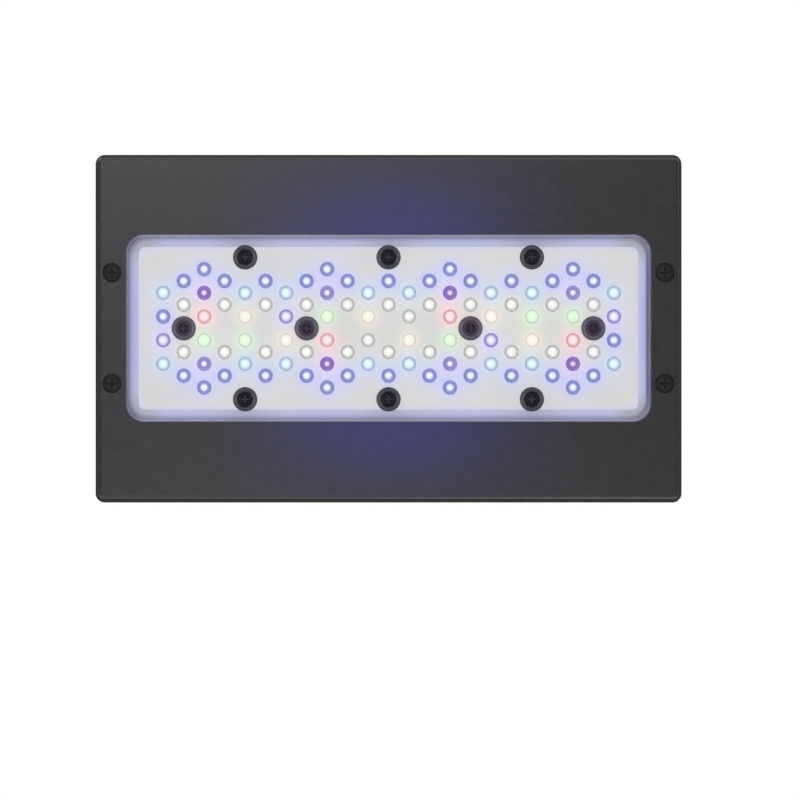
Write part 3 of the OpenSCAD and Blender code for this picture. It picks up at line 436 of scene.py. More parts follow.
# Name, darker and paler colour, roughness, stretch of the streaks, pieces
DARK_METALS = [
    ("anodised_skin", shade(24, 28, 38), shade(32, 36, 48), 0.42, (0.04, 1, 1), "rail_plate heat_sink"),
    ("turned_black", shade(30, 30, 32), shade(38, 38, 40), 0.44, (1, 1, 0.2),
     "hanging_posts middle_spacers"),
    ("oiled_black", shade(17, 17, 19), shade(25, 25, 28), 0.3, (1, 1, 1), "plate_screws fan_screws"),
]
dress_rows(dark_metal, DARK_METALS)

# %% [markdown]
# ## Moulded plastics
# The fan, its guard, the socket and the button are moulded. Moulded black plastic has a faint
# spark-eroded texture and a satin gloss. A rubber button has a finer texture than a fan blade, and every
# edge is rubbed a touch paler. One function takes the colour, the roughness and the size of the texture,
# so each plastic is one row of a table, and ferrite and phosphor, which are grainy too, are two more.

# %% Satin plastics and rubber
PLASTIC_CLOUDS = 90
RUBBED_SHARE, RUBBED_WHITE = 0.35, 0.25


def moulded(name, low, high, rough, size):
    plastic, shader, place = new_finish(name, Specular_IOR_Level=0.3)
    texture = place.noise(size, detail=3)
    cloud = place.noise(PLASTIC_CLOUDS)
    skin = texture.mixed(cloud, share=0.5).contrast().blend(low, high)
    rubbed = grain(shader, place, texture, depth=0.02 * MM, edge=0.3 * MM)
    paler = tuple((1 - RUBBED_WHITE) * c + RUBBED_WHITE for c in high)
    (RUBBED_SHARE * rubbed * cloud).blend(skin, paler).feed(shader, "Base Color")
    cloud.vary(rough, amount=0.12).feed(shader, "Roughness")
    return plastic


# Name, darker and paler colour, roughness, texture grains in a metre, pieces
PLASTICS = [
    ("fan_plastic", shade(24, 24, 27), shade(31, 31, 34), 0.42, 1100, "fan_frame fan_rotor"),
    ("guard_plastic", shade(20, 20, 23), shade(27, 27, 30), 0.36, 1300, "fan_guard"),
    ("socket_plastic", shade(15, 15, 16), shade(21, 21, 23), 0.3, 1500, "power_inlet"),
    ("button_rubber", shade(46, 47, 52), shade(56, 57, 62), 0.5, 1700, "control_button"),
    ("switch_plastic", shade(30, 31, 34), shade(38, 39, 42), 0.4, 1400, "button_switch"),
    ("chip_plastic", shade(22, 22, 24), shade(28, 28, 30), 0.55, 2600, "controller_chip"),
    ("connector_plastic", shade(228, 225, 214), shade(238, 236, 228), 0.38, 1200, "driver_connectors"),
    ("plunger_plastic", shade(205, 205, 202), shade(216, 216, 214), 0.35, 1200, "switch_plunger"),
    ("gasket_rubber", shade(96, 95, 108), shade(110, 109, 122), 0.6, 900, "lens_gasket"),
    ("pad_silicone", shade(142, 150, 166), shade(156, 164, 180), 0.7, 700, "thermal_pad"),
    ("grainy_ferrite", shade(52, 52, 55), shade(68, 68, 71), 0.6, 2400, "rotor_magnet driver_coils"),
    ("phosphor_coat", shade(222, 196, 110), shade(238, 214, 134), 0.6, 2200, "led_emitters"),
]
dress_rows(moulded, PLASTICS)

# %% [markdown]
# ## Metals and boards inside
# Most of these pieces sit in the closed housing and show only when it is taken apart.
# They still get real finishes: bright steel, bronze, wound copper, drawn cans,
# and green boards whose copper tracks show as paler lines under the mask.
# Thin lines between random cells, which is what Voronoi's distance to an edge gives,
# pass well for tracks.

# %% Bright metals and circuit boards
BRIGHT_STREAKS = 1600


def bright_metal(name, low, high, rough, stretch):
    metal, shader, place = new_finish(name, Metallic=1.0)
    streak = place.noise(BRIGHT_STREAKS, stretch=stretch)
    streak.contrast().blend(low, high).feed(shader, "Base Color")
    streak.vary(rough, amount=0.2).feed(shader, "Roughness")
    grain(shader, place, streak, depth=0.006 * MM, edge=0.12 * MM)
    return metal


# The same columns as for the dark metals
BRIGHT_METALS = [
    ("bright_steel", shade(182, 184, 188), shade(206, 208, 211), 0.2, (1, 1, 0.15),
     "fan_shaft inlet_nut radio_module circuit_screws"),
    ("plain_bronze", shade(176, 132, 74), shade(200, 156, 96), 0.26, (1, 1, 1), "fan_bush inlet_pin"),
    ("drawn_can", shade(188, 190, 194), shade(204, 206, 209), 0.24, (1, 1, 0.1), "driver_capacitors"),
    ("wound_copper", shade(128, 72, 38), shade(186, 112, 62), 0.3, (0.2, 0.2, 3), "fan_stator"),
]
dress_rows(bright_metal, BRIGHT_METALS)

TRACK_CELLS, TRACK_EDGE = 190, (0.03, 0.07)
green_board, shader, place = new_finish("green_board", Roughness=0.36, Coat_Weight=0.3)
cells = {"Vector": place, "Scale": TRACK_CELLS}
track = 1 - place.node("TexVoronoi", {"feature": "DISTANCE_TO_EDGE"}, cells).rise(*TRACK_EDGE)
track.blend(shade(22, 74, 50), shade(46, 112, 78)).feed(shader, "Base Color")
grain(shader, place, track, depth=0.03 * MM, edge=0.1 * MM)
dress(green_board, "switch_board", "driver_board", "control_board")

# %% [markdown]
# ## Sloping frame
# Behind the window a white frame slopes from the window's edge up to the board. The blue light it picks up
# is painted into its colour, so it looks lavender, greyer at the window and brightest at the board.
# The distance from the core tells how far along the slope a point is, and a colour ramp over it paints
# that light. The core is made a little smaller here, so the tones go round the corners in wider arcs.
# Behind a clamp a painted shade dulls the slope. At the two ends, close to blue LEDs, it is painted
# bluer, and the corners and the foot of each end lie in painted shadow.

# %% Frame that picks up the light
SLOPE_CORE = 2.2 * MM  # how much smaller the core is
SLOPE_FOOT, SLOPE_TOP = 10.9 * MM, 5.0 * MM  # distances from it, at the window and at the board
# painted light and shade along the slope
SLOPE_LIGHT_TONES = [
    (0.0, shade(172, 170, 208)), (0.18, shade(166, 166, 204)), (0.3, shade(170, 171, 206)),
    (0.4, shade(184, 187, 223)), (0.5, shade(194, 197, 234)), (0.7, shade(206, 209, 241)),
    (0.86, shade(203, 206, 235)), (0.95, shade(214, 216, 240)), (1.0, shade(226, 227, 244))]
CLAMP_X = 73 * MM  # the outer clamps in the upper and lower rows
CLAMP_SHADOW, CLAMPS_END = (4 * MM, 24 * MM), (90 * MM, 110 * MM)
# painted shade behind the clamps, painted blue light at the ends, painted shadow in the corners
CLAMP_SHADE_FILTER, END_BLUE_LIGHT_FILTER = (0.92, 0.9, 0.87, 1), (0.95, 0.93, 1.02, 1)
CORNER_SHADOW_FILTER = (0.84, 0.83, 0.7, 1)
AT_END, END_WIDTH = (124 * MM, 130 * MM), (8 * MM, 40 * MM)
CORNER_X, CORNER_Y = (112 * MM, 124 * MM), (30 * MM, 41 * MM)
LEFT_FOOT, LEFT_SHADE = (0.06, 0.3), 0.6
RIGHT_FOOT, RIGHT_SHADE = (0.24, 0.42), 0.85
RIGHT_WIDTH, RIGHT_LOSS = (30 * MM, 44 * MM), 0.5
# painted shadow at the foot of each end
FOOT_SHADOW_TONE = shade(100, 99, 128)
FRAME_GRAIN = 1200
frame_white, shader, place = new_finish("sloping_white", Roughness=0.5, Specular_IOR_Level=0.1)
along, across = abs(place.axis(X)), abs(place.axis(Y))
reach = {"Value": past_core(place, SLOPE_CORE), "From Min": SLOPE_FOOT, "From Max": SLOPE_TOP}
height = place.node("MapRange", links=reach)
slope = height.node("ValToRGB", {"stops": SLOPE_LIGHT_TONES}, {"Fac": height})
from_clamp = place.sum("MINIMUM", along, abs(along - CLAMP_X))
near_clamp = (1 - from_clamp.rise(*CLAMP_SHADOW)) * (1 - along.rise(*CLAMPS_END))
at_end = along.rise(*AT_END) * (1 - across.rise(*END_WIDTH))
dulled = near_clamp.blend(slope, slope.tint(CLAMP_SHADE_FILTER))
lit_slope = at_end.blend(dulled, slope.tint(END_BLUE_LIGHT_FILTER))
shaded = lit_slope.tint(CORNER_SHADOW_FILTER, share=along.rise(*CORNER_X) * across.rise(*CORNER_Y))
left_foot = (-place.axis(X)).rise(*AT_END) * (1 - height.rise(*LEFT_FOOT))
right_foot = place.axis(X).rise(*AT_END) * (1 - height.rise(*RIGHT_FOOT))
narrowed = right_foot * (1 - RIGHT_LOSS * across.rise(*RIGHT_WIDTH))
(LEFT_SHADE * left_foot + RIGHT_SHADE * narrowed).blend(shaded, FOOT_SHADOW_TONE).feed(shader, "Base Color")
grain(shader, place, place.noise(FRAME_GRAIN), depth=0.01 * MM, edge=0.1 * MM)
dress(frame_white, "reflector_frame")

# %% [markdown]
# ## Clear cover
# The cover in the window is clear plastic. Real refraction would throw the board into noisy shadow, so
# the cover is nearly transparent. Only its bevelled rim, found by its distance from the window's core,
# is frosted. Its lavender tone is painted LED light, and a painted shade makes it a little darker at the
# two ends.

# %% Cover with a frosted rim
RIM_EDGE = (7.9 * MM, 8.4 * MM)
CLEAR, FROST = 0.004, 0.55  # how opaque the cover is, and what the rim adds
COVER_TONE = shade(214, 216, 235)
# painted LED light on the rim, with painted shade at the ends
RIM_TONES = (shade(192, 191, 216), shade(156, 155, 176))  # along the sides and at the ends
clear_cover, shader, place = new_finish("clear_cover", Roughness=0.1)
rim = past_core(place).rise(*RIM_EDGE)
rim.vary(CLEAR, FROST).feed(shader, "Alpha")
rim_tone = abs(place.axis(X)).rise(*AT_END).blend(*RIM_TONES)
rim.blend(COVER_TONE, rim_tone).feed(shader, "Base Color")
dress(clear_cover, "lens_cover")

# %% [markdown]
# ## Turning by hand
# The round parts of the lit face start as a cylinder. Its end face is inset and pushed along its normal
# again and again, which draws the profile of a lathe ring by ring. A profile could be spun as well, but
# with insets each ring is one pair of numbers in a list, and the end stays closed.

# %% Helpers for turned pieces
END_ON = 0.9  # an end face has a normal that points at least this far up or down


def faces_down(normal):
    return normal.z < -END_ON


def start_cylinder(name, radius, low, high, sides):
    bpy.ops.object.select_all(action="DESELECT")
    bpy.ops.mesh.primitive_cylinder_add(
        vertices=sides, radius=radius * MM, depth=(high - low) * MM,
        location=(0, 0, (low + high) / 2 * MM))
    piece = bpy.context.object
    piece.name = name
    bpy.ops.object.transform_apply(location=True)
    return piece


def pick_faces(piece, wanted):
    bpy.ops.object.mode_set(mode="EDIT")
    bpy.ops.mesh.select_mode(type="FACE")
    bpy.ops.mesh.select_all(action="DESELECT")
    bpy.ops.object.mode_set(mode="OBJECT")
    for face in piece.data.polygons:
        face.select = wanted(face.normal)
    bpy.ops.object.mode_set(mode="EDIT")


def draw_profile(steps):
    # Each step draws the picked face in and moves it along its normal, both in millimetres
    for inwards, onwards in steps:
        bpy.ops.mesh.inset(thickness=inwards * MM, depth=onwards * MM)


def end_modelling(piece, angle):
    bpy.ops.object.mode_set(mode="OBJECT")
    bpy.ops.object.select_all(action="DESELECT")
    piece.select_set(True)
    bpy.context.view_layer.objects.active = piece
    bpy.ops.object.shade_smooth_by_angle(angle=math.radians(angle))
    print(piece.name, "has", len(piece.data.polygons), "faces")


print("ready to turn pieces by hand")

# %% [markdown]
# ## One LED
# Each LED is a round foot on the board with a dome of clear silicone on it. The foot's end is drawn in
# with a small chamfer, dished towards the dome, and the dome follows a flat arc in four steps.
# Twenty sides are enough for something seven millimetres wide that appears a hundred times.
# Every point then stores its distance from the LED's own axis. Copies keep that number, so one material
# can draw rings on all of them, wherever they stand.

# %% Foot and dome
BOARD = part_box("led_board")[0][2] / MM
LED_R, FOOT, DOME_R, DOME_H = 3.7, 0.9, 2.1, 1.7
LED_SIDES = 20
CHAMFER = 0.12
FOOT_STEPS = [(0.2, CHAMFER), (0.32, 0.0), (0.5, -0.05), (0.46, -0.05), (0.12, 0.1)]
DOME_ANGLES = [math.radians(a) for a in (0, 22, 44, 64, 80)]


def store_spread(piece):
    spread = piece.data.attributes.new("spread", "FLOAT", "POINT")
    for number, point in enumerate(piece.data.vertices):
        spread.data[number].value = math.hypot(point.co.x, point.co.y) / MM
    print(piece.name, "reaches", round(max(value.value for value in spread.data), 2), "mm from its axis")


led = start_cylinder("led", LED_R, BOARD - FOOT + CHAMFER, BOARD, LED_SIDES)
pick_faces(led, faces_down)
draw_profile(FOOT_STEPS)
arc = [(DOME_R * math.cos(a), DOME_H * math.sin(a)) for a in DOME_ANGLES]
draw_profile([(here[0] - there[0], there[1] - here[1]) for here, there in zip(arc, arc[1:])])
end_modelling(led, angle=42)
store_spread(led)

# %% [markdown]
# ## Where the LEDs sit, and their colours
# The LEDs stand in columns that are shifted by half a step, so they form triangles. Counted from the
# middle, the second row is white, the first and the third mix the other colours, and the outer rows are
# blue, with a peak in every sixth column. The lower half repeats the upper half turned round.
# The clamps stand on points of the same lattice.

# %% Lattice
LAST_COLUMN, PEAK_ROW = 11, 5
PEAK_STEP, FIRST_PEAK = 6, 3
blue_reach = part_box("blue_leds")[1]
COLUMN = (blue_reach[0] - LED_R * MM) / LAST_COLUMN
ROW = (blue_reach[1] - LED_R * MM) / PEAK_ROW
row_one = "blue red warm violet green warm white red warm green green violet".split()
row_three = "cyan ultraviolet cyan cyan violet cyan cyan ultraviolet cyan cyan violet cyan".split()
led_places = {}
for i in range(-LAST_COLUMN, LAST_COLUMN + 1):
    for k in range(-PEAK_ROW, PEAK_ROW + 1):
        last_row = PEAK_ROW if abs(i) % PEAK_STEP == FIRST_PEAK else PEAK_ROW - 1
        if k == 0 or (i + k) % 2 or abs(k) > last_row:
            continue
        turn = (LAST_COLUMN + (i if k < 0 else -i)) // 2
        colour = {1: row_one[turn], 2: "white", 3: row_three[turn]}.get(abs(k), "blue")
        led_places.setdefault(colour, []).append((i * COLUMN, k * ROW))
print("columns", round(COLUMN / MM, 3), "rows", round(ROW / MM, 3), "mm apart")
print({colour: len(places) for colour, places in led_places.items()})

# %% [markdown]
# ## Lit silicone
# A lit LED shows a ring in its own colour round a core that is almost white. The stored distance from
# the axis says where the ring begins, and where it fades into the board at the rim. Part of each colour
# comes from the lamps and part from the LED itself, so it looks lit but still has form.

# %% Silicone with a lit ring
RIM_FADE = (3.4, 3.95)
OUTER_ROWS = (10 * MM, 14 * MM)
SPECKLES = 700


def lit_silicone(name, ring, core, start, full, deeper=0.0):
    silicone, shader, place = new_finish(
        name, Roughness=0.3, Specular_IOR_Level=0.1, Emission_Strength=1.0)

    def part(colour, share):
        return tuple(c * share for c in colour[:3]) + (1,)

    radius = place.node("Attribute", {"attribute_name": "spread"}, out="Fac")
    outer_row = abs(place.axis(Y)).rise(*OUTER_ROWS)
    band = (radius + deeper * outer_row).rise(start, full)
    fade = radius.rise(*RIM_FADE)
    rim = tuple((r + 2 * c) / 3 for r, c in zip(ring, core))  # one part of ring, two of core
    skin = band.blend(part(core, share=0.4), part(ring, share=0.55))
    fade.blend(skin, part(rim, share=0.62)).feed(shader, "Base Color")
    speckle = place.noise(SPECKLES, detail=1).contrast()
    lit_ring = speckle.blend(part(ring, share=0.4), part(ring, share=0.5))
    light = band.blend(part(core, share=0.7), lit_ring)
    fade.blend(light, part(rim, share=0.25)).feed(shader, "Emission Color")
    return silicone


print("rings fade from", RIM_FADE[0], "to", RIM_FADE[1], "mm from the axis")

# %% [markdown]
# ## Copies that stand for a node
# A piece that repeats is modelled once in the middle. Each copy has a mesh of its own, and its place is
# applied to it, so that the joined copies sit at the origin, as a CAD node does. The joined piece then
# takes the node's place on the light.

# %% Helpers for copies
def copy_to(master, name, places):
    made = []
    for x, y in places:
        twin = master.copy()
        twin.data = master.data.copy()
        twin.location = (x, y, 0)
        bpy.context.scene.collection.objects.link(twin)
        made.append(twin)
    bpy.ops.object.select_all(action="DESELECT")
    for twin in made:
        twin.select_set(True)
    bpy.context.view_layer.objects.active = made[0]
    bpy.ops.object.transform_apply(location=True)
    bpy.ops.object.join()
    made[0].name = name
    print(name, "holds", len(places), "copies")
    return made[0]


def stand_for(piece, node, slot, finish):
    piece.data.materials.clear()
    piece.data.materials.append(finish)
    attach(piece, "light")
    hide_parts(node)


print("ready to copy pieces")

# %% [markdown]
# ## Eight colours
# Each colour is a row: ring, core, the light it throws on the board, and where the ring starts and is
# full. Violet has one more number, because in the outer rows its rings start further in.
# Ring and core are written as screen colours, and the third is linear light.

# %% Eight colours of LED
LED_COLOURS = {
    "blue": (shade(128, 136, 194), shade(228, 238, 255), (0.0, 0.01, 0.27), 1.15, 2.5),
    "white": (shade(183, 183, 183), shade(246, 247, 243), (0.02, 0.02, 0.01), 1.6, 2.9),
    "cyan": (shade(169, 185, 207), shade(226, 247, 253), (0.0, 0.06, 0.18), 1.6, 2.9),
    "violet": (shade(146, 137, 197), shade(239, 232, 255), (0.07, 0.02, 0.26), 1.45, 2.95, 0.85),
    "ultraviolet": (shade(136, 108, 186), shade(240, 212, 255), (0.12, 0.0, 0.2), 0.3, 2.1),
    "red": (shade(212, 166, 170), shade(255, 227, 231), (0.28, 0.0, 0.02), 1.7, 2.9),
    "green": (shade(203, 219, 198), shade(229, 251, 223), (0.0, 0.15, 0.0), 1.8, 3.1),
    "warm": (shade(224, 216, 209), shade(249, 245, 235), (0.13, 0.08, 0.0), 1.8, 3.1),
}
for colour, (ring, core, _, *steps) in LED_COLOURS.items():
    optics = copy_to(led, colour + "_led_optics", led_places[colour])
    silicone = lit_silicone("lit_" + colour, ring, core, *steps)
    stand_for(optics, colour + "_leds", colour + "_led", silicone)
bpy.data.objects.remove(led)

# %% [markdown]
# ## White board
# The board is an aluminium plate under a white solder mask, and the LEDs throw coloured halos on it.
# Lamps small enough for that would render slowly, so the board carries the halos itself. That takes many
# points to store them in, so it starts as a fine grid, which is extruded to the board's thickness.

# %% Board from a grid
CELL = 1.25 * MM
ONE_PLANE = math.radians(1)
board_low, board_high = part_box("led_board")
board_size = [high - low for low, high in zip(board_low, board_high)]
bpy.ops.object.select_all(action="DESELECT")
bpy.ops.mesh.primitive_grid_add(
    x_subdivisions=round(board_size[0] / CELL), y_subdivisions=round(board_size[1] / CELL),
    size=1, location=(0, 0, board_low[2]))
board = bpy.context.object
board.name = "white_board"
bpy.ops.transform.resize(value=(board_size[0], board_size[1], 1))
bpy.ops.object.transform_apply(location=True, scale=True)
bpy.ops.object.mode_set(mode="EDIT")
bpy.ops.mesh.extrude_region_move(TRANSFORM_OT_translate={"value": (0, 0, board_size[2])})
bpy.ops.mesh.dissolve_limited(angle_limit=ONE_PLANE)
bpy.ops.mesh.select_all(action="SELECT")
bpy.ops.mesh.normals_make_consistent(inside=False)
bpy.ops.object.mode_set(mode="OBJECT")
print("board", [round(c / MM, 1) for c in board_size], "mm with", len(board.data.polygons), "faces")

# %% [markdown]
# ## Corners of the board
# The board's corners are round, but a bevel of the grid would end in a tangle of its small faces.
# A Boolean does it cleanly: what lies inside a block with bevelled upright edges is kept.

# %% Rounded corners
BLOCK_H = 10 * MM
CORNER_STEPS = 8


def cut(piece, operation, tool):
    step = piece.modifiers.new("cut", "BOOLEAN")
    step.operation = operation
    step.object = tool
    step.solver = "MANIFOLD"
    bpy.context.view_layer.objects.active = piece
    bpy.ops.object.modifier_apply(modifier="cut")
    bpy.data.objects.remove(tool)


bpy.ops.object.select_all(action="DESELECT")
bpy.ops.mesh.primitive_cube_add(size=1, location=(0, 0, (board_low[2] + board_high[2]) / 2))
corners = bpy.context.object
bpy.ops.transform.resize(value=(board_size[0], board_size[1], BLOCK_H))
bpy.ops.object.transform_apply(location=True, scale=True)
bpy.ops.object.mode_set(mode="EDIT")
bpy.ops.mesh.select_all(action="DESELECT")
bpy.ops.object.mode_set(mode="OBJECT")
for edge in corners.data.edges:
    ends = [corners.data.vertices[v].co for v in edge.vertices]
    edge.select = abs(ends[0].z - ends[1].z) > BLOCK_H / 2
bpy.ops.object.mode_set(mode="EDIT")
bpy.ops.mesh.select_mode(type="EDGE")
bpy.ops.mesh.bevel(offset=FLANGE, segments=CORNER_STEPS)
bpy.ops.object.mode_set(mode="OBJECT")
cut(board, "INTERSECT", corners)
print("board has", len(board.data.polygons), "faces with round corners")

# %% [markdown]
# ## Holes in the board
# Ten screws go through the board, one in each clamp: four in the middle row, and three each above and
# below the LEDs. Copies of one drill are joined, so a single Boolean makes all the holes.

# %% Drilled holes
HOLE_R, DRILL_SIDES, DRILL_PAST = 1.7, 24, 2
MIDDLE_COLUMNS = (10, 4)
OUTER_COLUMNS, OUTER_ROW = (-7, 0, 7), 6
clamp_places = [(side * column * COLUMN, 0) for column in MIDDLE_COLUMNS for side in (-1, 1)]
clamp_places += [
    (column * COLUMN, side * OUTER_ROW * ROW) for column in OUTER_COLUMNS for side in (-1, 1)]
drill = start_cylinder(
    "drill", HOLE_R, board_low[2] / MM - DRILL_PAST, board_high[2] / MM + DRILL_PAST, DRILL_SIDES)
drills = copy_to(drill, "drills", clamp_places)
bpy.data.objects.remove(drill)
cut(board, "DIFFERENCE", drills)
end_modelling(board, angle=30)

# %% [markdown]
# ## Halos on the board
# Light fades quickly away from an LED: each two and a half millimetres past its rim leave a little more
# than a third of it. The loop adds up all LEDs for every point of the grid, but stops at a reach where
# nothing is left to see.

# %% Stored halos
FADE = 2.5 * MM
REACH = 15 * MM
sources = [(x, y, LED_COLOURS[colour][2]) for colour, places in led_places.items() for x, y in places]
halos = board.data.attributes.new("halo", "FLOAT_COLOR", "POINT")
brightest = 0
for number, point in enumerate(board.data.vertices):
    total = [0.0, 0.0, 0.0]
    for x, y, light in sources:
        away = math.hypot(point.co.x - x, point.co.y - y)
        if away < REACH:
            share = math.exp(min(0, LED_R * MM - away) / FADE)
            total = [t + share * c for t, c in zip(total, light)]
    halos.data[number].color = (*total, 1)
    brightest = max(brightest, *total)
print("brightest halo", round(brightest, 2))

# %% [markdown]
# ## White mask
# The mask is a nearly even white, with soft clouds and fine specks. Where much blue light falls on it the
# white is painted a little bluer. A border along the sloping frame is painted with the frame's lavender
# light, and darker where the board meets the frame. The stored halos are added as a glow, on the side
# that faces the window alone.

# %% Mask that carries the halos
MASK_CLOUDS, MASK_SPECKS = 24, 900
MASK_TONES = (shade(219, 220, 220), shade(225, 225, 223))
BLUISH, BLUISH_TONE = (0.0, 0.4), shade(208, 211, 220)
# painted lavender light from the frame, with painted shade where the board meets it
BORDER, FRAME_LIGHT_TONE = (1.5 * MM, 4.5 * MM), shade(219, 218, 231)
OUTSIDE, FRAME_LIGHT_AND_SHADE_TONE = (4.7 * MM, 5.3 * MM), shade(210, 211, 235)
BEHIND = (board_low[2] + 0.2 * MM, board_low[2] + 0.4 * MM)
RED, BLUE = X, Z  # a colour is split in the same way as a place
board_white, shader, place = new_finish("white_mask", Specular_IOR_Level=0.12)
cloud = place.noise(MASK_CLOUDS)
speck = place.noise(MASK_SPECKS)
mask_white = cloud.mixed(speck, share=0.7).contrast().blend(*MASK_TONES)
halo = place.node("Attribute", {"attribute_name": "halo"}, out="Color")
tinted = (halo.axis(BLUE) - halo.axis(RED)).rise(*BLUISH).blend(mask_white, BLUISH_TONE)
from_core = past_core(place, SLOPE_CORE)
bordered = from_core.rise(*BORDER).blend(tinted, FRAME_LIGHT_TONE)
from_core.rise(*OUTSIDE).blend(bordered, FRAME_LIGHT_AND_SHADE_TONE).feed(shader, "Base Color")
cloud.vary(start=0.45, amount=0.15).feed(shader, "Roughness")
grain(shader, place, speck, depth=0.01 * MM, edge=0.1 * MM)
glow(shader, 1 - place.axis(Z).rise(*BEHIND), halo)
stand_for(board, "led_board", "white_board", board_white)

# %% [markdown]
# ## Clamps
# Ten black cones press the board against the heat sink. Each is turned: a thin foot, a rounded rim, a
# long slope, and a tip with a counterbore for the screw. The last step of the profile sinks that bore.

# %% Turned clamp
CLAMP_R, CLAMP_FOOT, CLAMP_SIDES = 6.2, 0.5, 36
CLAMP_STEPS = [
    (0.12, 0.18), (0.2, 0.12), (2.15, 2.9), (0.18, 0.2), (0.2, 0.08), (0.42, 0.0), (0.02, -1.35)]
clamp = start_cylinder("clamp", CLAMP_R, BOARD - CLAMP_FOOT, BOARD, CLAMP_SIDES)
pick_faces(clamp, faces_down)
draw_profile(CLAMP_STEPS)
end_modelling(clamp, angle=50)

# %% [markdown]
# ## Black cones
# The slope is the part of a clamp that catches the light, so a painted highlight makes it paler half way
# up and on its left and right flanks, and it stays nearly black at the tip. A colour ramp over the height
# draws that. The four cones in the middle row stand among the LEDs and get a painted glow of a little
# violet light.

# %% Finish of the clamps
CONE_TIP, CONE_FOOT = 5.5 * MM, BOARD * MM
# painted highlight along the slope of the black cone
CONE_HIGHLIGHT_TONES = [
    (0.0, shade(6, 6, 8)), (0.08, shade(16, 16, 20)), (0.22, shade(78, 79, 86)),
    (0.5, shade(107, 108, 116)), (0.74, shade(96, 96, 104)), (1.0, shade(52, 52, 62))]
CONE_STREAKS, CONE_STRETCH = 500, (1, 1, 6)
CONE_DARK, DARK_SHARE = shade(20, 20, 24), 0.34
FLANKS = (0.35, 0.8)  # how far a normal leans to the left or right
LESS_ON_FLANKS, MORE_IN_STREAKS = 0.3, 0.2
AMONG_LEDS = (10 * MM, 26 * MM)
CONE_VIOLET = (0.041, 0.028, 0.05, 1)


def among_leds(place):
    return 1 - abs(place.axis(Y)).rise(*AMONG_LEDS)


cone_black, shader, place = new_finish("cone_black", Specular_IOR_Level=0.02)
heights = {"Value": place.axis(Z), "From Min": CONE_TIP, "From Max": CONE_FOOT}
height = place.node("MapRange", links=heights)
painted_cone_highlight = height.node("ValToRGB", {"stops": CONE_HIGHLIGHT_TONES}, {"Fac": height})
turning = place.noise(CONE_STREAKS, stretch=CONE_STRETCH)
# the flanks get less of the dark, a painted highlight
flank = abs(place.node("NewGeometry", out="Normal").axis(X)).rise(*FLANKS)
dark_share = DARK_SHARE - LESS_ON_FLANKS * flank + MORE_IN_STREAKS * turning
dark_share.blend(painted_cone_highlight, CONE_DARK).feed(shader, "Base Color")
turning.vary(start=0.34, amount=0.14).feed(shader, "Roughness")
grain(shader, place, turning, depth=0.012 * MM, edge=0.15 * MM)
# painted violet glow on the cones among the LEDs
glow(shader, among_leds(place), CONE_VIOLET)
clamps = copy_to(clamp, "clamp_cones", clamp_places)
stand_for(clamps, "board_clamps", "black_plastic", cone_black)
bpy.data.objects.remove(clamp)

# %% [markdown]
# ## Cross recess
# The screws have a cross-shaped recess. Its cutter is a small cube whose four sides are extruded one by
# one, which is quicker than joining two bars and leaves no faces inside.

# %% Cross-shaped cutter
CROSS_WIDTH, CROSS_REACH = 0.42, 0.8  # shares of the arm's length


def faces_sideways(normal):
    return abs(normal.z) < END_ON


def make_cross(low, arm):
    bpy.ops.object.select_all(action="DESELECT")
    bpy.ops.mesh.primitive_cube_add(size=arm * CROSS_WIDTH * MM, location=(0, 0, low * MM))
    cross = bpy.context.object
    bpy.ops.object.transform_apply(location=True)
    pick_faces(cross, faces_sideways)
    bpy.ops.mesh.extrude_faces_move(TRANSFORM_OT_shrink_fatten={"value": arm * CROSS_REACH * MM})
    bpy.ops.object.mode_set(mode="OBJECT")
    print("cross is", round(cross.dimensions.x / MM, 2), "mm wide")
    return cross


print("a cross reaches", CROSS_WIDTH / 2 + CROSS_REACH, "arms from its middle")

# %% [markdown]
# ## Screws
# A screw starts as its head: the rim is drawn in to round it, and the other end is inset and extruded
# into the shank. A Boolean then cuts the recess. The same function makes the large housing screws and the
# small ones in the clamps.

# %% Screw heads
HEAD_SIDES = 32
RIM_STEPS = [(0.08, 0.12), (0.22, 0.08)]
RIM_H = sum(onwards for _, onwards in RIM_STEPS)


def faces_up(normal):
    return normal.z > END_ON


def model_screw(name, head_r, low, high, shank_r, top, arm):
    screw = start_cylinder(name, head_r, low + RIM_H, high, HEAD_SIDES)
    pick_faces(screw, faces_down)
    draw_profile(RIM_STEPS)
    pick_faces(screw, faces_up)
    draw_profile([(head_r - shank_r, 0.0)])
    bpy.ops.mesh.extrude_region_move(TRANSFORM_OT_translate={"value": (0, 0, (top - high) * MM)})
    bpy.ops.object.mode_set(mode="OBJECT")
    cut(screw, "DIFFERENCE", make_cross(low, arm))
    end_modelling(screw, angle=40)
    store_spread(screw)
    return screw


face_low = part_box("housing_screws")[0][2] / MM
CASE_HEAD_R, PIN_HEAD_R, PIN_LOW = 4.6, 2.6, 5.5
housing_screw = model_screw(
    "housing_screw", CASE_HEAD_R, low=face_low, high=1.7, shank_r=2.0, top=15.7, arm=2.6)
board_screw = model_screw(
    "board_screw", PIN_HEAD_R, low=PIN_LOW, high=6.8, shank_r=1.5, top=14.7, arm=1.9)

# %% [markdown]
# ## Black screw heads
# The heads are blackened steel with a fine grain. The recess is told by its depth: a painted shade makes
# it darker than the housing screws' heads, and a painted highlight makes it paler than those in the
# clamps, where only the recess catches light. A painted shade on the rim, placed by the stored distance
# from the axis, darkens it where the rounded head falls away. The clamp screws among the LEDs get a faint
# painted violet glow.

# %% Finish and places of the screws
HEAD_GRAIN, HEAD_PALER = 1300, 1.3
RECESS = (0.1, 0.4)  # depth into the head, in millimetres
# painted shade on the rim, where the rounded head falls away
RIM_BAND, RIM_SHARE, RIM_PAINTED_SHADE = (0.5, 0.85), 0.45, shade(18, 18, 20)
PIN_VIOLET = (0.009, 0.004, 0.014, 1)


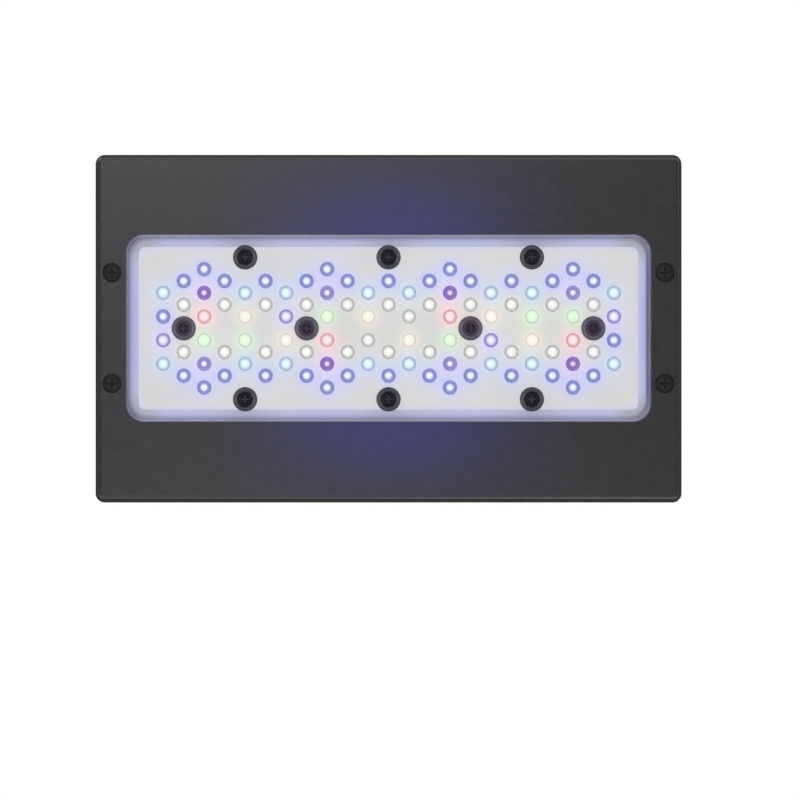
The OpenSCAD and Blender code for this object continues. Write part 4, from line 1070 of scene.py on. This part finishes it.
def screw_finish(name, head, recess, low, head_r):
    black, shader, place = new_finish(name, Specular_IOR_Level=0.03, Roughness=0.4)
    sunk = place.axis(Z).rise(*((low + depth) * MM for depth in RECESS))
    fine = place.noise(HEAD_GRAIN, detail=3)
    tone = fine.contrast().blend(head, tuple(HEAD_PALER * c for c in head[:3]) + (1,))
    radius = place.node("Attribute", {"attribute_name": "spread"}, out="Fac")
    falling = radius.rise(*(share * head_r for share in RIM_BAND))
    sunk.blend((RIM_SHARE * falling).blend(tone, RIM_PAINTED_SHADE), recess).feed(shader, "Base Color")
    grain(shader, place, fine, depth=0.02 * MM, edge=0.15 * MM)
    return black, shader, place


# housing screws: the darker recess is a painted shade
sunk_black = screw_finish("sunk_black", shade(40, 40, 42), shade(22, 22, 24), face_low, CASE_HEAD_R)[0]
screw_x, screw_y = (high - CASE_HEAD_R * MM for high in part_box("housing_screws")[1][:2])
screw_places = [(x * screw_x, y * screw_y) for x in (-1, 1) for y in (-1, 1)]
housing_set = copy_to(housing_screw, "housing_screw_set", screw_places)
stand_for(housing_set, "housing_screws", "black_screw", sunk_black)
# clamp screws: the paler recess is a painted highlight
deep_black, shader, place = screw_finish(
    "deep_black", shade(6, 6, 8), shade(54, 52, 58), PIN_LOW, PIN_HEAD_R)
# painted violet glow on the screws among the LEDs
glow(shader, among_leds(place), PIN_VIOLET)
board_set = copy_to(board_screw, "board_screw_set", clamp_places)
stand_for(board_set, "board_screws", "black_screw", deep_black)
for master in (housing_screw, board_screw):
    bpy.data.objects.remove(master)

# %% [markdown]
# ## Status light
# A short clear pipe carries the light of a small indicator from the switch board up through the plate.
# It glows softly over its whole length, and a little noise keeps it from looking like a flat sticker.

# %% Light pipe
PIPE_CLOUDS = 900
pipe_clear, shader, place = new_finish("pipe_clear", Roughness=0.2, Emission_Strength=0.6)
cloud = place.noise(PIPE_CLOUDS)
cloud.blend(shade(196, 214, 226), shade(226, 238, 246)).feed(shader, "Base Color")
cloud.blend(shade(120, 180, 220), shade(190, 226, 246)).feed(shader, "Emission Color")
dress(pipe_clear, "status_light")
